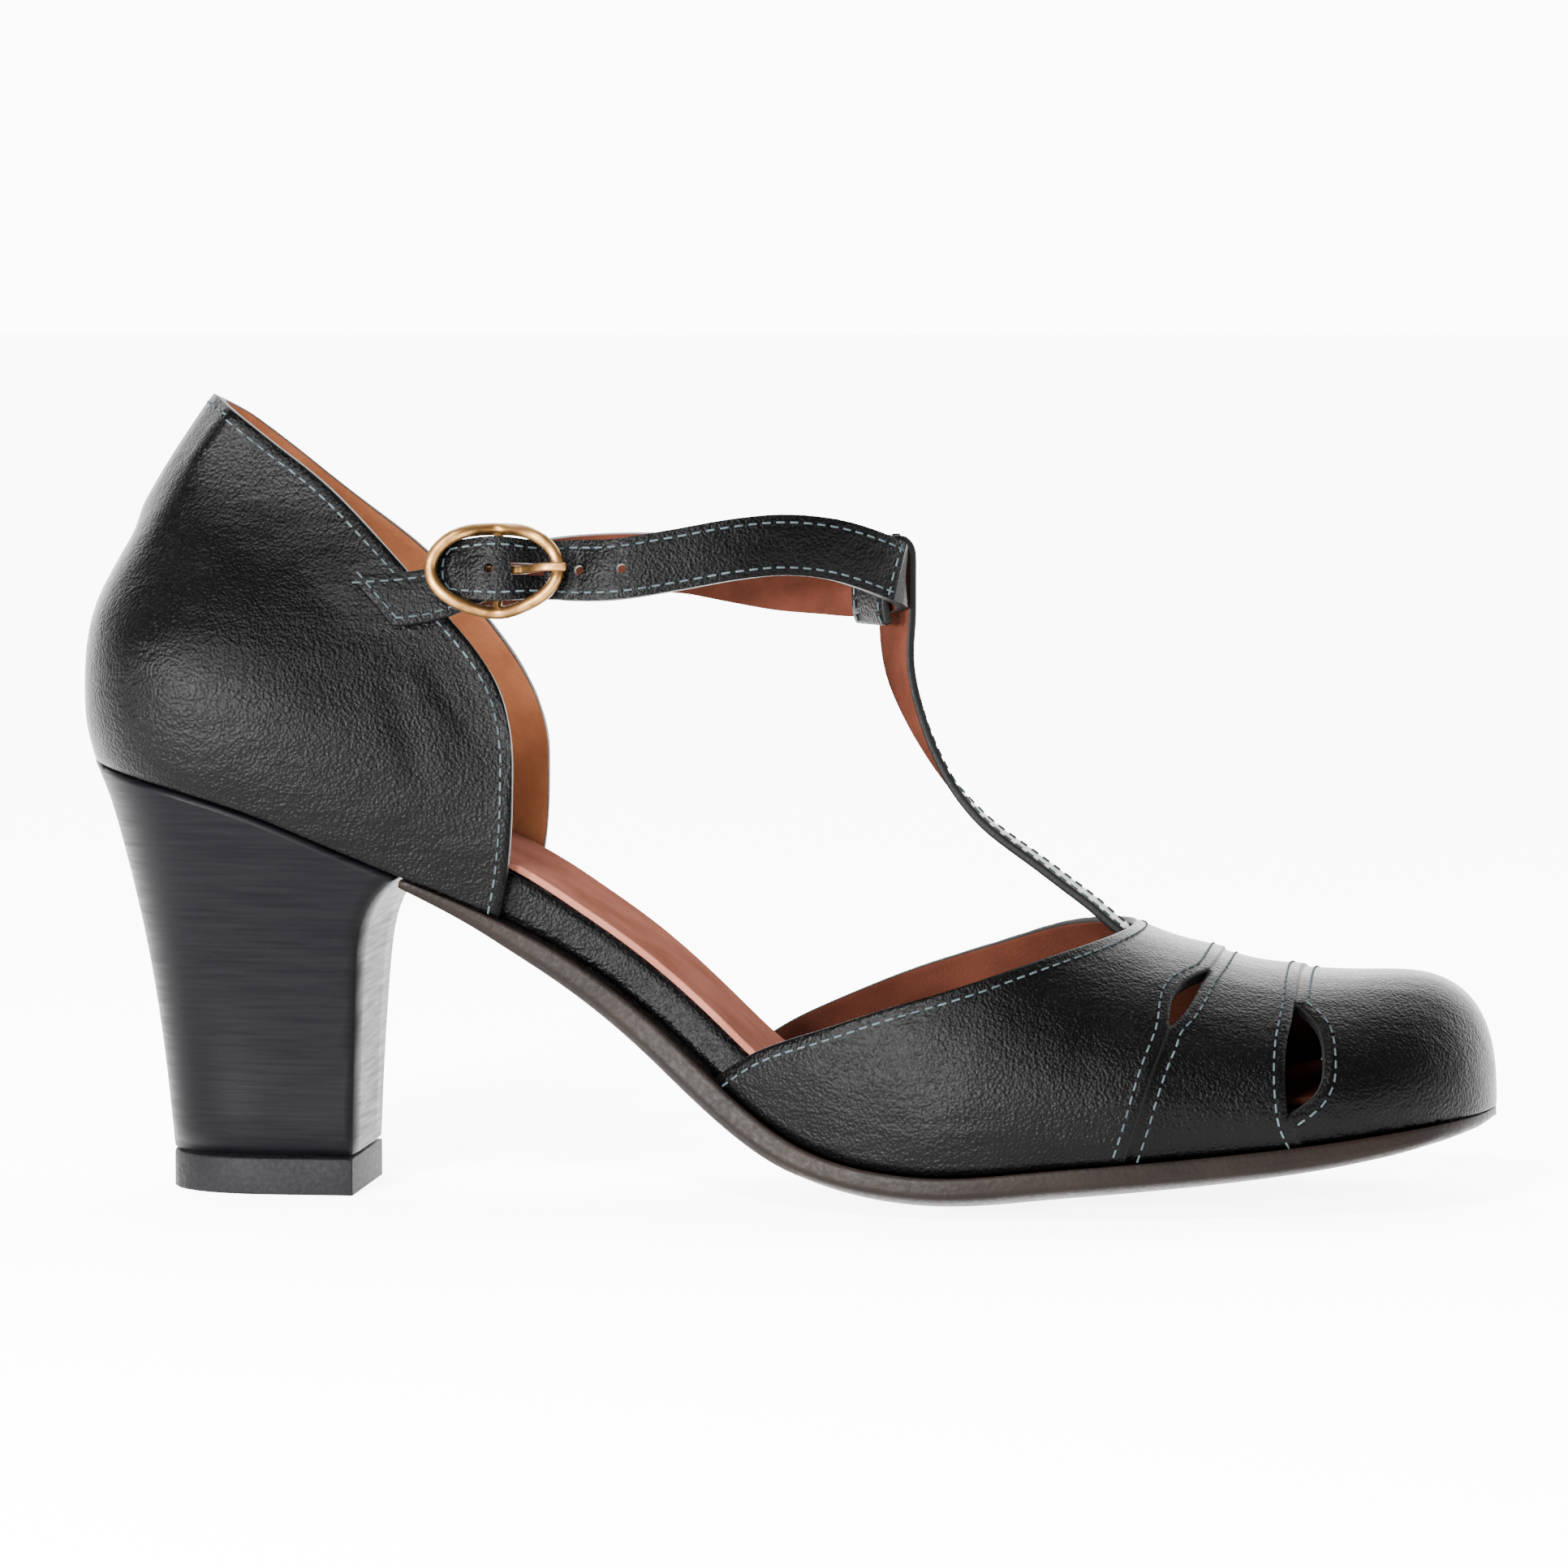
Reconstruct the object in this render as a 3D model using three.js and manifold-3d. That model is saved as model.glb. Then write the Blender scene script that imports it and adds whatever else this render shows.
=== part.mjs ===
// Right-foot T-strap shoe with a block heel: a cut-away upper of vamp and quarter on a leather
// sole, a T-strap looped round an ankle strap, and an oval buckle on the outer side.
// Millimetres. +X runs to the toe, +Y to the inner side of the foot, +Z up, floor at z = 0.

import * as THREE from "three";
import Module from "manifold-3d";

const wasm = await Module();
wasm.setup();

// Driving dimensions.
const LENGTH = 238.6; // back of the heel to the toe tip, along the floor
const BALL_WIDTH = 76; // across the feather edge at the ball
const HEEL_HEIGHT = 72.6; // floor to the back of the heel seat
const BALL_HEIGHT = 7.3; // floor to the feather edge at the ball
const TOE_SPRING = 8.6; // rise of the feather edge from ball to toe tip
const BACK_HEIGHT = 61.5; // heel seat to the peak of the quarter
const VAMP_HEIGHT = 36; // feather edge to the ridge at the throat
const HEEL_INSET = 2.7; // back of the heel seat behind the widest part of the counter
const FIT_GAP = 0.3; // between pieces that meet

// Walls and layers.
const QUARTER_WALL = 2.2;
const VAMP_WALL = 2;
const SKIVED_WALL = 1.2; // vamp at its topline
const SKIVED_LENGTH = 10;
const OVERLAP_RAISE = 0.55; // height of a folded edge over the panel below it
const OVERLAP_LENGTH = 9; // how far that raise takes to fade
const OVERLAP_RUN = 0.3; // length of the step at the folded edge
const SOLE_EDGE = 4.6;
const SOLE_MARGIN = 1.2; // outsole outside the feather edge
const SOLE_BEVEL = 1.3;
const SOLE_SAG = 3.4; // how far the middle of the tread hangs below the edges
const FOOTBED = 5.8; // at the ball
const INSOLE = 1.2;
const INSOLE_MARGIN = 1;

// Heel block and top lift.
const HEEL_BREAST = 57.5; // back of the heel to the top of the breast
const HEEL_BACK = 15.7; // back of the shoe to the back of the top lift
const LIFT_DEPTH = 32.8;
const LIFT_WIDTH = 30;
const LIFT_HEIGHT = 6.2;
const LIFT_ROUND = 19; // depth of the rounded back of the top lift

// Outline of toe and heel, seen from above and from the side.
const HEEL_ROUND = 25;
const TOE_ROUND = 40;
const TOE_FALL = 20; // length over which the ridge falls to the toe tip
const ROUND_FULLNESS = 2.2;
const FALL_FULLNESS = 2.7;

// Cut-outs between the panels of the vamp.
const REAR_CUTOUT = 3.3;
const FRONT_CUTOUT = 6.4;
const INNER_FORWARD = 4.5; // how much further forward they lie on the inner side

// Straps.
const STRAP_WIDTH = 10;
const STRAP_THICKNESS = 1.8;
const STRAP_REACH = 63.5; // buckle bar to the front of the ankle strap
const STRAP_SPAN = 47; // across the ankle strap
const STRAP_HEIGHT = 57.7; // feather edge below the buckle to the middle of the strap
const STRAP_LEAN = 9; // degrees that the strap leans inwards
const T_WIDTH = 11;
const T_THICKNESS = 1.5;
const T_REACH = 42; // throat back to the loop
const T_RISE = 52; // throat up to the loop
const T_YAW = 34; // degrees that the loop is turned to the inner side
const LOOP_GAP = 0.95; // loop round the curved ankle strap
const T_LAP = 1.5; // how far the end of the loop hangs below the ankle strap
const T_TUCK = 2.2; // how far the strap runs in below the loop
const T_DRAW = 0.8; // how far the end of the loop is drawn towards the strap
const TAB_WIDTH = 9;
const TAB_THICKNESS = 1.1;
const END_SKEW = 7; // how far the sewn ends are cut on the slant
const SEWN_GAP = 0.45; // flat strap off the rounded quarter
const HOLE_PITCH = 7;
const HOLE_RADIUS = 0.8;

// Buckle.
const BUCKLE_AT = 0.3115; // place of the bar, share of the length
const BUCKLE_LENGTH = 23.4;
const BUCKLE_HEIGHT = 16;
const BUCKLE_WIRE = 2.1;
const BUCKLE_BOW = 4.3; // how far both ends stand out from the bar
const BUCKLE_LIFT = 1.9; // bar outside the quarter's face
const BAR_RADIUS = 0.8;
const PRONG_WIDTH = 1.4;
const PRONG_THICKNESS = 0.9;

// The underside of the foot: share of the heel's rise and of the toe spring at each station.
const SOLE_LINE = [
  { at: 0, rise: 1.012, spring: 0 },
  { at: 0.011, rise: 1, spring: 0 },
  { at: 0.07, rise: 0.949, spring: 0 },
  { at: 0.135, rise: 0.88, spring: 0 },
  { at: 0.192, rise: 0.794, spring: 0 },
  { at: 0.243, rise: 0.716, spring: 0 },
  { at: 0.295, rise: 0.638, spring: 0 },
  { at: 0.355, rise: 0.531, spring: 0 },
  { at: 0.395, rise: 0.434, spring: 0 },
  { at: 0.437, rise: 0.311, spring: 0 },
  { at: 0.479, rise: 0.172, spring: 0 },
  { at: 0.52, rise: 0.069, spring: 0 },
  { at: 0.56, rise: 0.02, spring: 0 },
  { at: 0.62, rise: 0, spring: 0 },
  { at: 0.7, rise: 0, spring: 0.19 },
  { at: 0.8, rise: 0, spring: 0.42 },
  { at: 0.87, rise: 0, spring: 0.6 },
  { at: 0.922, rise: 0, spring: 0.77 },
  { at: 1, rise: 0, spring: 1 },
];

// Feather edge from above: half widths as shares of the ball width, before heel and toe are
// rounded off, and the sideways bend of the middle line.
const OUTLINE = [
  { at: 0, outer: 0.325, inner: 0.325, bend: 0 },
  { at: 0.14, outer: 0.33, inner: 0.325, bend: 0 },
  { at: 0.25, outer: 0.3, inner: 0.285, bend: 0 },
  { at: 0.33, outer: 0.272, inner: 0.255, bend: -0.004 },
  { at: 0.4, outer: 0.275, inner: 0.255, bend: -0.01 },
  { at: 0.47, outer: 0.325, inner: 0.3, bend: -0.016 },
  { at: 0.55, outer: 0.41, inner: 0.385, bend: -0.016 },
  { at: 0.64, outer: 0.48, inner: 0.47, bend: -0.01 },
  { at: 0.72, outer: 0.49, inner: 0.505, bend: 0.005 },
  { at: 0.8, outer: 0.465, inner: 0.49, bend: 0.02 },
  { at: 0.88, outer: 0.43, inner: 0.45, bend: 0.036 },
  { at: 1, outer: 0.4, inner: 0.4, bend: 0.05 },
];

// Ridge of the last over the vamp, above the feather edge, as shares of the vamp height.
const RIDGE = [
  { at: 0.44, up: 1.93 },
  { at: 0.53, up: 2.04 },
  { at: 0.587, up: 1.84 },
  { at: 0.629, up: 1.62 },
  { at: 0.67, up: 1.38 },
  { at: 0.712, up: 1.144 },
  { at: 0.748, up: 1 },
  { at: 0.8, up: 0.848 },
  { at: 0.861, up: 0.722 },
  { at: 0.918, up: 0.672 },
  { at: 1, up: 0.655 },
];

// Topline of the vamp on its outer and inner side, above the feather edge, as shares of the
// vamp height.
const VAMP_TOPLINE = [
  { at: 0.464, outer: 0, inner: 0 },
  { at: 0.497, outer: 0.33, inner: 0.327 },
  { at: 0.534, outer: 0.547, inner: 0.567 },
  { at: 0.592, outer: 0.757, inner: 0.79 },
  { at: 0.65, outer: 0.871, inner: 0.909 },
  { at: 0.701, outer: 0.943, inner: 0.98 },
  { at: 0.73, outer: 0.978, inner: 0.993 },
  { at: 0.748, outer: 1, inner: 1 },
];
const THROAT = 0.748;

// Front edges of the vamp and of the middle band: `up` is the share of the ridge height, `at`
// the share of the length, and `gap` the share of the cut-out's width that is left open there.
const VAMP_EDGE = [
  { up: 0, at: 0.7498, gap: 0 },
  { up: 0.17, at: 0.7582, gap: 0 },
  { up: 0.37, at: 0.7661, gap: 0 },
  { up: 0.5, at: 0.772, gap: 0 },
  { up: 0.65, at: 0.7787, gap: 0 },
  { up: 0.72, at: 0.7787, gap: 0.72 },
  { up: 0.8, at: 0.7804, gap: 1 },
  { up: 0.87, at: 0.7879, gap: 0.78 },
  { up: 0.93, at: 0.8013, gap: 0 },
  { up: 1, at: 0.8072, gap: 0 },
];
const BAND_EDGE = [
  { up: 0, at: 0.8684, gap: 0 },
  { up: 0.19, at: 0.8604, gap: 0 },
  { up: 0.3, at: 0.859, gap: 0.75 },
  { up: 0.45, at: 0.8579, gap: 1 },
  { up: 0.6, at: 0.858, gap: 0.95 },
  { up: 0.72, at: 0.86, gap: 0.75 },
  { up: 0.8, at: 0.8615, gap: 0.4 },
  { up: 0.85, at: 0.862, gap: 0 },
  { up: 1, at: 0.8625, gap: 0 },
];
// Heights at which a line of the vamp's grid runs, and the cells between them: the ends of the
// cut-outs lie on such lines.
const VAMP_LINES = [
  { up: 0, cells: 2 },
  { up: 0.19, cells: 5 },
  { up: 0.65, cells: 3 },
  { up: 0.85, cells: 2 },
  { up: 0.93, cells: 3 },
  { up: 1, cells: 0 },
];

// The counter: how far each level is shifted forwards and widened, over the back height.
const COUNTER = [
  { up: 0, shift: 0, widen: 0 },
  { up: 0.112, shift: -0.0075, widen: 0.07 },
  { up: 0.22, shift: -0.0085, widen: 0.105 },
  { up: 0.29, shift: -0.0085, widen: 0.11 },
  { up: 0.4, shift: -0.005, widen: 0.095 },
  { up: 0.6, shift: 0.0192, widen: 0.05 },
  { up: 0.8, shift: 0.0484, widen: -0.01 },
  { up: 1, shift: 0.0834, widen: -0.07 },
  { up: 1.2, shift: 0.12, widen: -0.13 },
];
// The collar is drawn in between these shares of the back height, to half widths that are shares
// of the ball width.
const COLLAR_FROM = 0.35;
const COLLAR_TO = 0.85;
const COLLAR_ROUND = 9;
const COLLAR = [
  { at: 0, half: 0.112 },
  { at: 0.05, half: 0.116 },
  { at: 0.084, half: 0.13 },
  { at: 0.113, half: 0.147 },
  { at: 0.1425, half: 0.171 },
  { at: 0.176, half: 0.207 },
  { at: 0.21, half: 0.232 },
  { at: 0.243, half: 0.241 },
  { at: 0.285, half: 0.25 },
  { at: 0.314, half: 0.276 },
];
// Topline of the quarter from the front edge to the peak: its height on the outer and on the
// inner side, as shares of the height of the peak.
const QUARTER_TOPLINE = [
  { at: 0.3219, outer: 0.559, inner: 0.559 },
  { at: 0.3164, outer: 0.623, inner: 0.6 },
  { at: 0.3101, outer: 0.646, inner: 0.628 },
  { at: 0.2976, outer: 0.681, inner: 0.667 },
  { at: 0.2598, outer: 0.755, inner: 0.753 },
  { at: 0.2347, outer: 0.802, inner: 0.802 },
  { at: 0.1802, outer: 0.892, inner: 0.881 },
  { at: 0.1425, outer: 0.94, inner: 0.937 },
  { at: 0.1174, outer: 0.975, inner: 0.971 },
  { at: 0.0947, outer: 1, inner: 1 },
];
const QUARTER_FRONT = 0.3114; // foot of the quarter's front edge, share of the length
const QUARTER_BOW = 0.9; // how far that edge bows forwards

// Thickness of the sole's edge along the shoe, as shares of its full thickness.
const SOLE_TAPER = [
  { at: 0.23, full: 0.3 },
  { at: 0.29, full: 0.6 },
  { at: 0.34, full: 0.95 },
  { at: 0.45, full: 1.12 },
  { at: 0.53, full: 1.04 },
  { at: 0.6, full: 1.02 },
  { at: 0.86, full: 1.02 },
  { at: 0.95, full: 0.8 },
  { at: 1, full: 0.45 },
];
// Thickness of the footbed along the shoe, and how far its inner edge lies below the outer one,
// as shares of its full thickness.
const FOOTBED_LINE = [
  { at: 0, full: 1.1, fall: 0 },
  { at: 0.22, full: 1.35, fall: 0 },
  { at: 0.306, full: 1.38, fall: 0 },
  { at: 0.329, full: 1.24, fall: 0 },
  { at: 0.352, full: 1.12, fall: 0 },
  { at: 0.402, full: 1.07, fall: 0.06 },
  { at: 0.43, full: 1.05, fall: 0.18 },
  { at: 0.462, full: 1.04, fall: 0.28 },
  { at: 0.48, full: 1.04, fall: 0.34 },
  { at: 0.54, full: 1, fall: 0.2 },
  { at: 0.62, full: 1, fall: 0 },
];
// Where the tread sags: nowhere under the arch, fully under the ball.
const SAG_LINE = [
  { at: 0.38, full: 0 },
  { at: 0.5, full: 0.55 },
  { at: 0.58, full: 1 },
  { at: 0.72, full: 1 },
  { at: 0.9, full: 0.6 },
  { at: 1, full: 0.3 },
];

// Heel block from top lift (0) to seat (1): how far each level has moved from the lift's outline
// to the seat's, at the back, at the breast and in width.
const HEEL_BLOCK = [
  { level: 0, back: 0, breast: 0, width: 0 },
  { level: 0.25, back: 0.12, breast: 0.04, width: 0.07 },
  { level: 0.48, back: 0.29, breast: 0.1, width: 0.24 },
  { level: 0.66, back: 0.48, breast: 0.15, width: 0.45 },
  { level: 0.8, back: 0.65, breast: 0.22, width: 0.67 },
  { level: 0.9, back: 0.79, breast: 0.45, width: 0.84 },
  { level: 0.96, back: 0.91, breast: 0.72, width: 0.94 },
  { level: 1, back: 1, breast: 1, width: 1 },
];

// Sewn end of a strap on the quarter, by share of the length and height above the feather edge
// as a share of the back height.
const SEWN_END = [
  { at: 0.2225, up: 0.705 },
  { at: 0.2455, up: 0.75 },
  { at: 0.2645, up: 0.793 },
];
// Ankle strap from the inner quarter round the front to the buckle: shares of the reach in front
// of the buckle bar and of half the span, and rise in strap widths.
const ANKLE_STRAP = [
  { along: 0.02, across: 0.9, rise: -0.13 },
  { along: 0.104, across: 0.96, rise: -0.06 },
  { along: 0.277, across: 0.98, rise: -0.01 },
  { along: 0.411, across: 0.93, rise: -0.04 },
  { along: 0.523, across: 0.87, rise: -0.16 },
  { along: 0.658, across: 0.76, rise: -0.29 },
  { along: 0.798, across: 0.58, rise: -0.34 },
  { along: 0.875, across: 0.42, rise: -0.36 },
  { along: 0.923, across: 0.244, rise: -0.32 },
  { along: 0.948, across: 0.159, rise: -0.3 },
  { along: 0.972, across: 0.074, rise: -0.27 },
  { along: 0.996, across: -0.011, rise: -0.23 },
  { along: 1.02, across: -0.096, rise: -0.18 },
  { along: 1.022, across: -0.22, rise: -0.08 },
  { along: 0.964, across: -0.407, rise: 0.13 },
  { along: 0.86, across: -0.61, rise: 0.36 },
  { along: 0.742, across: -0.77, rise: 0.44 },
  { along: 0.619, across: -0.89, rise: 0.37 },
  { along: 0.469, across: -0.97, rise: 0.2 },
  { along: 0.309, across: -1.01, rise: 0.04 },
];
const LOOP_AT = { along: 0.972, across: 0.074 };
// The rest of its way through the buckle, and the prong: shares of half the buckle's length in
// front of the bar, and of the buckle's bow outside it.
const STRAP_TIP = [
  { front: 1.06, out: 0.23, width: 1 },
  { front: 0.82, out: 0.26, width: 0.96 },
  { front: 0.63, out: 0.3, width: 0.96 },
  { front: 0.43, out: 0.51, width: 0.98 },
  { front: 0.22, out: 0.74, width: 1.03 },
  { front: 0, out: 0.81, width: 1.06 },
  { front: -0.22, out: 0.74, width: 1.03 },
  { front: -0.43, out: 0.54, width: 0.98 },
  { front: -0.615, out: 0.34, width: 0.94 },
  { front: -0.735, out: 0.29, width: 0.86 },
  { front: -0.81, out: 0.26, width: 0.68 },
  { front: -0.855, out: 0.23, width: 0.4 },
];
const PRONG = [
  { front: -0.077, out: -0.293 },
  { front: -0.1325, out: 0 },
  { front: -0.077, out: 0.293 },
  { front: 0.034, out: 0.36 },
  { front: 0.188, out: 0.326 },
  { front: 0.359, out: 0.419 },
  { front: 0.479, out: 0.698 },
  { front: 0.598, out: 1.14 },
  { front: 0.735, out: 1.419 },
  { front: 0.906, out: 1.477 },
  { front: 1.043, out: 1.419 },
];
const PRONG_SLOT = [
  { front: 0.22, out: 0.58 },
  { front: 0.684, out: 0.58 },
];
// T-strap from under the throat to the foot of its loop: shares of its reach and rise, turn of
// the loop's yaw, and width.
const T_STRAP = [
  { back: -0.131, up: -0.107, turn: 0, width: 1.1 },
  { back: -0.064, up: -0.078, turn: 0, width: 1.06 },
  { back: -0.005, up: -0.053, turn: 0, width: 1.03 },
  { back: 0.045, up: -0.029, turn: 0, width: 1 },
  { back: 0.112, up: 0.014, turn: 0, width: 1 },
  { back: 0.171, up: 0.058, turn: 0, width: 1 },
  { back: 0.286, up: 0.125, turn: 0, width: 1 },
  { back: 0.405, up: 0.198, turn: 0.02, width: 1 },
  { back: 0.512, up: 0.256, turn: 0.05, width: 1 },
  { back: 0.607, up: 0.315, turn: 0.09, width: 1 },
  { back: 0.681, up: 0.379, turn: 0.15, width: 1 },
  { back: 0.745, up: 0.442, turn: 0.24, width: 1 },
  { back: 0.824, up: 0.548, turn: 0.4, width: 1 },
  { back: 0.886, up: 0.654, turn: 0.58, width: 1 },
  { back: 0.955, up: 0.808, turn: 0.8, width: 1 },
];

const { abs, asin, cos, hypot, max, min, PI, sin, sign } = Math;
const vector = (x, y, z) => new THREE.Vector3(x, y, z);
const mix = THREE.MathUtils.lerp;
const clamp = (share) => min(1, max(0, share));
const radians = THREE.MathUtils.degToRad;
const steps = (count) => Array.from({ length: count + 1 }, (_, i) => i / count);

// Smooth value of one column of a table, with no overshoot between its rows.
function column(table, name, key = "at") {
  const xs = table.map((row) => row[key]);
  const ys = table.map((row) => row[name]);
  const last = xs.length - 1;
  const chords = xs.slice(1).map((x, i) => (ys[i + 1] - ys[i]) / (x - xs[i]));
  const slopes = xs.map((_, i) => {
    if (i === 0 || i === last) return chords[min(i, last - 1)];
    const [before, after] = [chords[i - 1], chords[i]];
    return before * after <= 0 ? 0 : (2 * before * after) / (before + after);
  });
  return (x) => {
    if (x <= xs[0]) return ys[0] + slopes[0] * (x - xs[0]);
    if (x >= xs[last]) return ys[last] + slopes[last] * (x - xs[last]);
    const i = xs.findIndex((edge) => x < edge) - 1;
    const width = xs[i + 1] - xs[i];
    const t = (x - xs[i]) / width;
    return (
      ys[i] * (1 + 2 * t) * (1 - t) ** 2 +
      slopes[i] * width * t * (1 - t) ** 2 +
      ys[i + 1] * t * t * (3 - 2 * t) +
      slopes[i + 1] * width * t * t * (t - 1)
    );
  };
}

// Finds where a rising function crosses zero.
function crossing(rising, low, high) {
  for (let i = 0; i < 40; i++) {
    const middle = (low + high) / 2;
    if (rising(middle) < 0) low = middle;
    else high = middle;
  }
  return (low + high) / 2;
}

// Quarter of a rounded end: 0 at the tip, 1 where the straight part begins.
const roundedEnd = (share, fullness) =>
  (1 - (1 - clamp(share)) ** fullness) ** (1 / fullness);

const heelRise = column(SOLE_LINE, "rise");
const toeSpring = column(SOLE_LINE, "spring");
const outerWidth = column(OUTLINE, "outer");
const innerWidth = column(OUTLINE, "inner");
const bend = column(OUTLINE, "bend");
const ridge = column(RIDGE, "up");
const taper = column(SOLE_TAPER, "full");
const sagShare = column(SAG_LINE, "full");
const counterShift = column(COUNTER, "shift", "up");
const counterWiden = column(COUNTER, "widen", "up");
const collarShare = column(COLLAR, "half");

const featherHeight = (x) =>
  BALL_HEIGHT +
  (HEEL_HEIGHT - BALL_HEIGHT) * heelRise(x / LENGTH) +
  TOE_SPRING * toeSpring(x / LENGTH);
const middleLine = (x) => BALL_WIDTH * bend(x / LENGTH);

// Half width of the feather edge on the outer (-1) or inner (+1) side, drawn in by `inset`.
function halfWidth(x, side, inset = 0) {
  const share = (side < 0 ? outerWidth : innerWidth)(x / LENGTH);
  const heel = roundedEnd((x - HEEL_INSET - inset) / HEEL_ROUND, ROUND_FULLNESS);
  const toe = roundedEnd((LENGTH - inset - x) / TOE_ROUND, ROUND_FULLNESS);
  return (BALL_WIDTH * share - inset) * heel * toe;
}

// Closes the space between two grids of points: each kept cell of one faces its twin in the
// other, and a wall joins them wherever a kept cell has no neighbour.
function between(first, second, keep = () => true) {
  const points = [];
  const known = new Map();
  const triangles = [];
  const id = (p) => {
    const key = [p.x, p.y, p.z].map((c) => Math.round(c * 2000)).join();
    if (!known.has(key)) known.set(key, points.push(p) - 1);
    return known.get(key);
  };
  const face = (...corners) => {
    const ids = corners.map(id);
    const ring = ids.filter((n, i) => n !== ids[(i + 1) % ids.length]);
    for (let i = 2; i < ring.length; i++) triangles.push(ring[0], ring[i - 1], ring[i]);
  };
  const rows = first.length - 1;
  const columns = first[0].length - 1;
  const kept = (i, j) => i >= 0 && j >= 0 && i < rows && j < columns && keep(i, j);
  for (let i = 0; i < rows; i++)
    for (let j = 0; j < columns; j++) {
      if (!kept(i, j)) continue;
      const corners = [
        [i, j],
        [i + 1, j],
        [i + 1, j + 1],
        [i, j + 1],
      ];
      const a = corners.map(([r, c]) => first[r][c]);
      const b = corners.map(([r, c]) => second[r][c]);
      face(...a);
      face(...b.slice().reverse());
      const neighbours = [
        [i, j - 1],
        [i + 1, j],
        [i, j + 1],
        [i - 1, j],
      ];
      neighbours.forEach(([r, c], k) => {
        const next = (k + 1) % 4;
        if (!kept(r, c)) face(a[next], a[k], b[k], b[next]);
      });
    }
  return facingOut(points, triangles);
}

// A mesh geometry from points and triangles, turned inside out if it encloses less than nothing.
function facingOut(points, triangles) {
  let volume = 0;
  for (let i = 0; i < triangles.length; i += 3) {
    const [a, b, c] = triangles.slice(i, i + 3).map((n) => points[n]);
    volume += a.dot(b.clone().cross(c));
  }
  const index = volume < 0 ? triangles.slice().reverse() : triangles;
  const geometry = new THREE.BufferGeometry().setFromPoints(points);
  geometry.setIndex(index);
  return geometry;
}

// A tube of round section along points; `closed` joins its ends.
function tube(points, radius, sides, closed = false) {
  const count = points.length;
  const loops = points.map((p, i) => {
    const before = points[closed ? (i + count - 1) % count : max(0, i - 1)];
    const after = points[closed ? (i + 1) % count : min(count - 1, i + 1)];
    const along = after.clone().sub(before).normalize();
    const out = vector(0, 0, 1).cross(along).normalize();
    const up = along.clone().cross(out);
    return steps(sides).map((turn) =>
      p
        .clone()
        .addScaledVector(out, radius * cos(2 * PI * turn))
        .addScaledVector(up, radius * sin(2 * PI * turn)),
    );
  });
  const vertices = loops.flatMap((loop) => loop.slice(0, sides));
  const triangles = [];
  const rings = closed ? count : count - 1;
  for (let i = 0; i < rings; i++)
    for (let j = 0; j < sides; j++) {
      const [a, b] = [i * sides, ((i + 1) % count) * sides];
      const next = (j + 1) % sides;
      triangles.push(a + j, b + j, b + next, a + j, b + next, a + next);
    }
  if (!closed)
    for (let j = 2; j < sides; j++) {
      const end = (count - 1) * sides;
      triangles.push(0, j - 1, j, end, end + j, end + j - 1);
    }
  return facingOut(vertices, triangles);
}

// A flat strap: at each station a centre, the direction across it, its width and how far its
// upper edge runs ahead. `shares` are the lines along it, from the lower to the upper edge.
function strap(stations, thickness, shares = [-0.5, 0.5], keep) {
  const frames = stations.map(({ centre, across, width, skew = 0 }, i) => {
    const before = stations[max(0, i - 1)].centre;
    const after = stations[min(stations.length - 1, i + 1)].centre;
    const along = after.clone().sub(before).normalize();
    const side = across.clone().addScaledVector(along, -across.dot(along)).normalize();
    const out = along.clone().cross(side).normalize();
    return { centre, along, side, out, width, skew };
  });
  const face = (lift) =>
    frames.map(({ centre, along, side, out, width, skew }) =>
      shares.map((share) =>
        centre
          .clone()
          .addScaledVector(side, share * width)
          .addScaledVector(along, share * skew)
          .addScaledVector(out, lift),
      ),
    );
  return between(face(thickness / 2), face(-thickness / 2), keep);
}

function solidOf(geometry) {
  const plain = new wasm.Mesh({
    numProp: 3,
    vertProperties: new Float32Array(geometry.getAttribute("position").array),
    triVerts: new Uint32Array(geometry.index.array),
  });
  return new wasm.Manifold(plain);
}

function geometryOf(solid) {
  const { vertProperties, triVerts } = solid.getMesh();
  const geometry = new THREE.BufferGeometry();
  geometry.setAttribute("position", new THREE.BufferAttribute(vertProperties, 3));
  geometry.setIndex(new THREE.BufferAttribute(triVerts, 1));
  return geometry;
}

// Stations along the shoe, close together where heel and toe are rounded off.
function stationsAlong(from, to, roundHeel, spacing) {
  const heelEnd = roundHeel ? from + HEEL_ROUND : from;
  const toeStart = to - TOE_ROUND;
  const heel = roundHeel ? steps(6).map((s) => mix(from, heelEnd, s * s)) : [from];
  const middle = steps(Math.round((toeStart - heelEnd) / spacing));
  const toe = steps(7).map((s) => mix(to, toeStart, s * s));
  return [
    ...heel.slice(0, -1),
    ...middle.map((s) => mix(heelEnd, toeStart, s)),
    ...toe.reverse().slice(1),
  ];
}

// A point of a layer that follows the underside of the foot: `across` runs from -1 at the outer
// edge to 1 at the inner edge, and `above` is measured square to the feather edge.
function layerPoint(x, across, inset, above, sag) {
  const slope = (featherHeight(x + 0.5) - featherHeight(x - 0.5)) / 1;
  const length = hypot(1, slope);
  const half = halfWidth(x, sign(across) || 1, inset);
  const wide = clamp((2.2 * half) / BALL_WIDTH); // the sag fades where the layer is narrow
  const droop =
    SOLE_SAG * sag * clamp(sagShare(x / LENGTH)) * (1 - across * across) * wide * wide;
  return vector(
    x - (slope / length) * above,
    middleLine(x) + across * half,
    featherHeight(x) + above / length - droop,
  );
}

const ACROSS = [-1, -0.9, -0.65, -0.35, 0, 0.35, 0.65, 0.9, 1];

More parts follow.
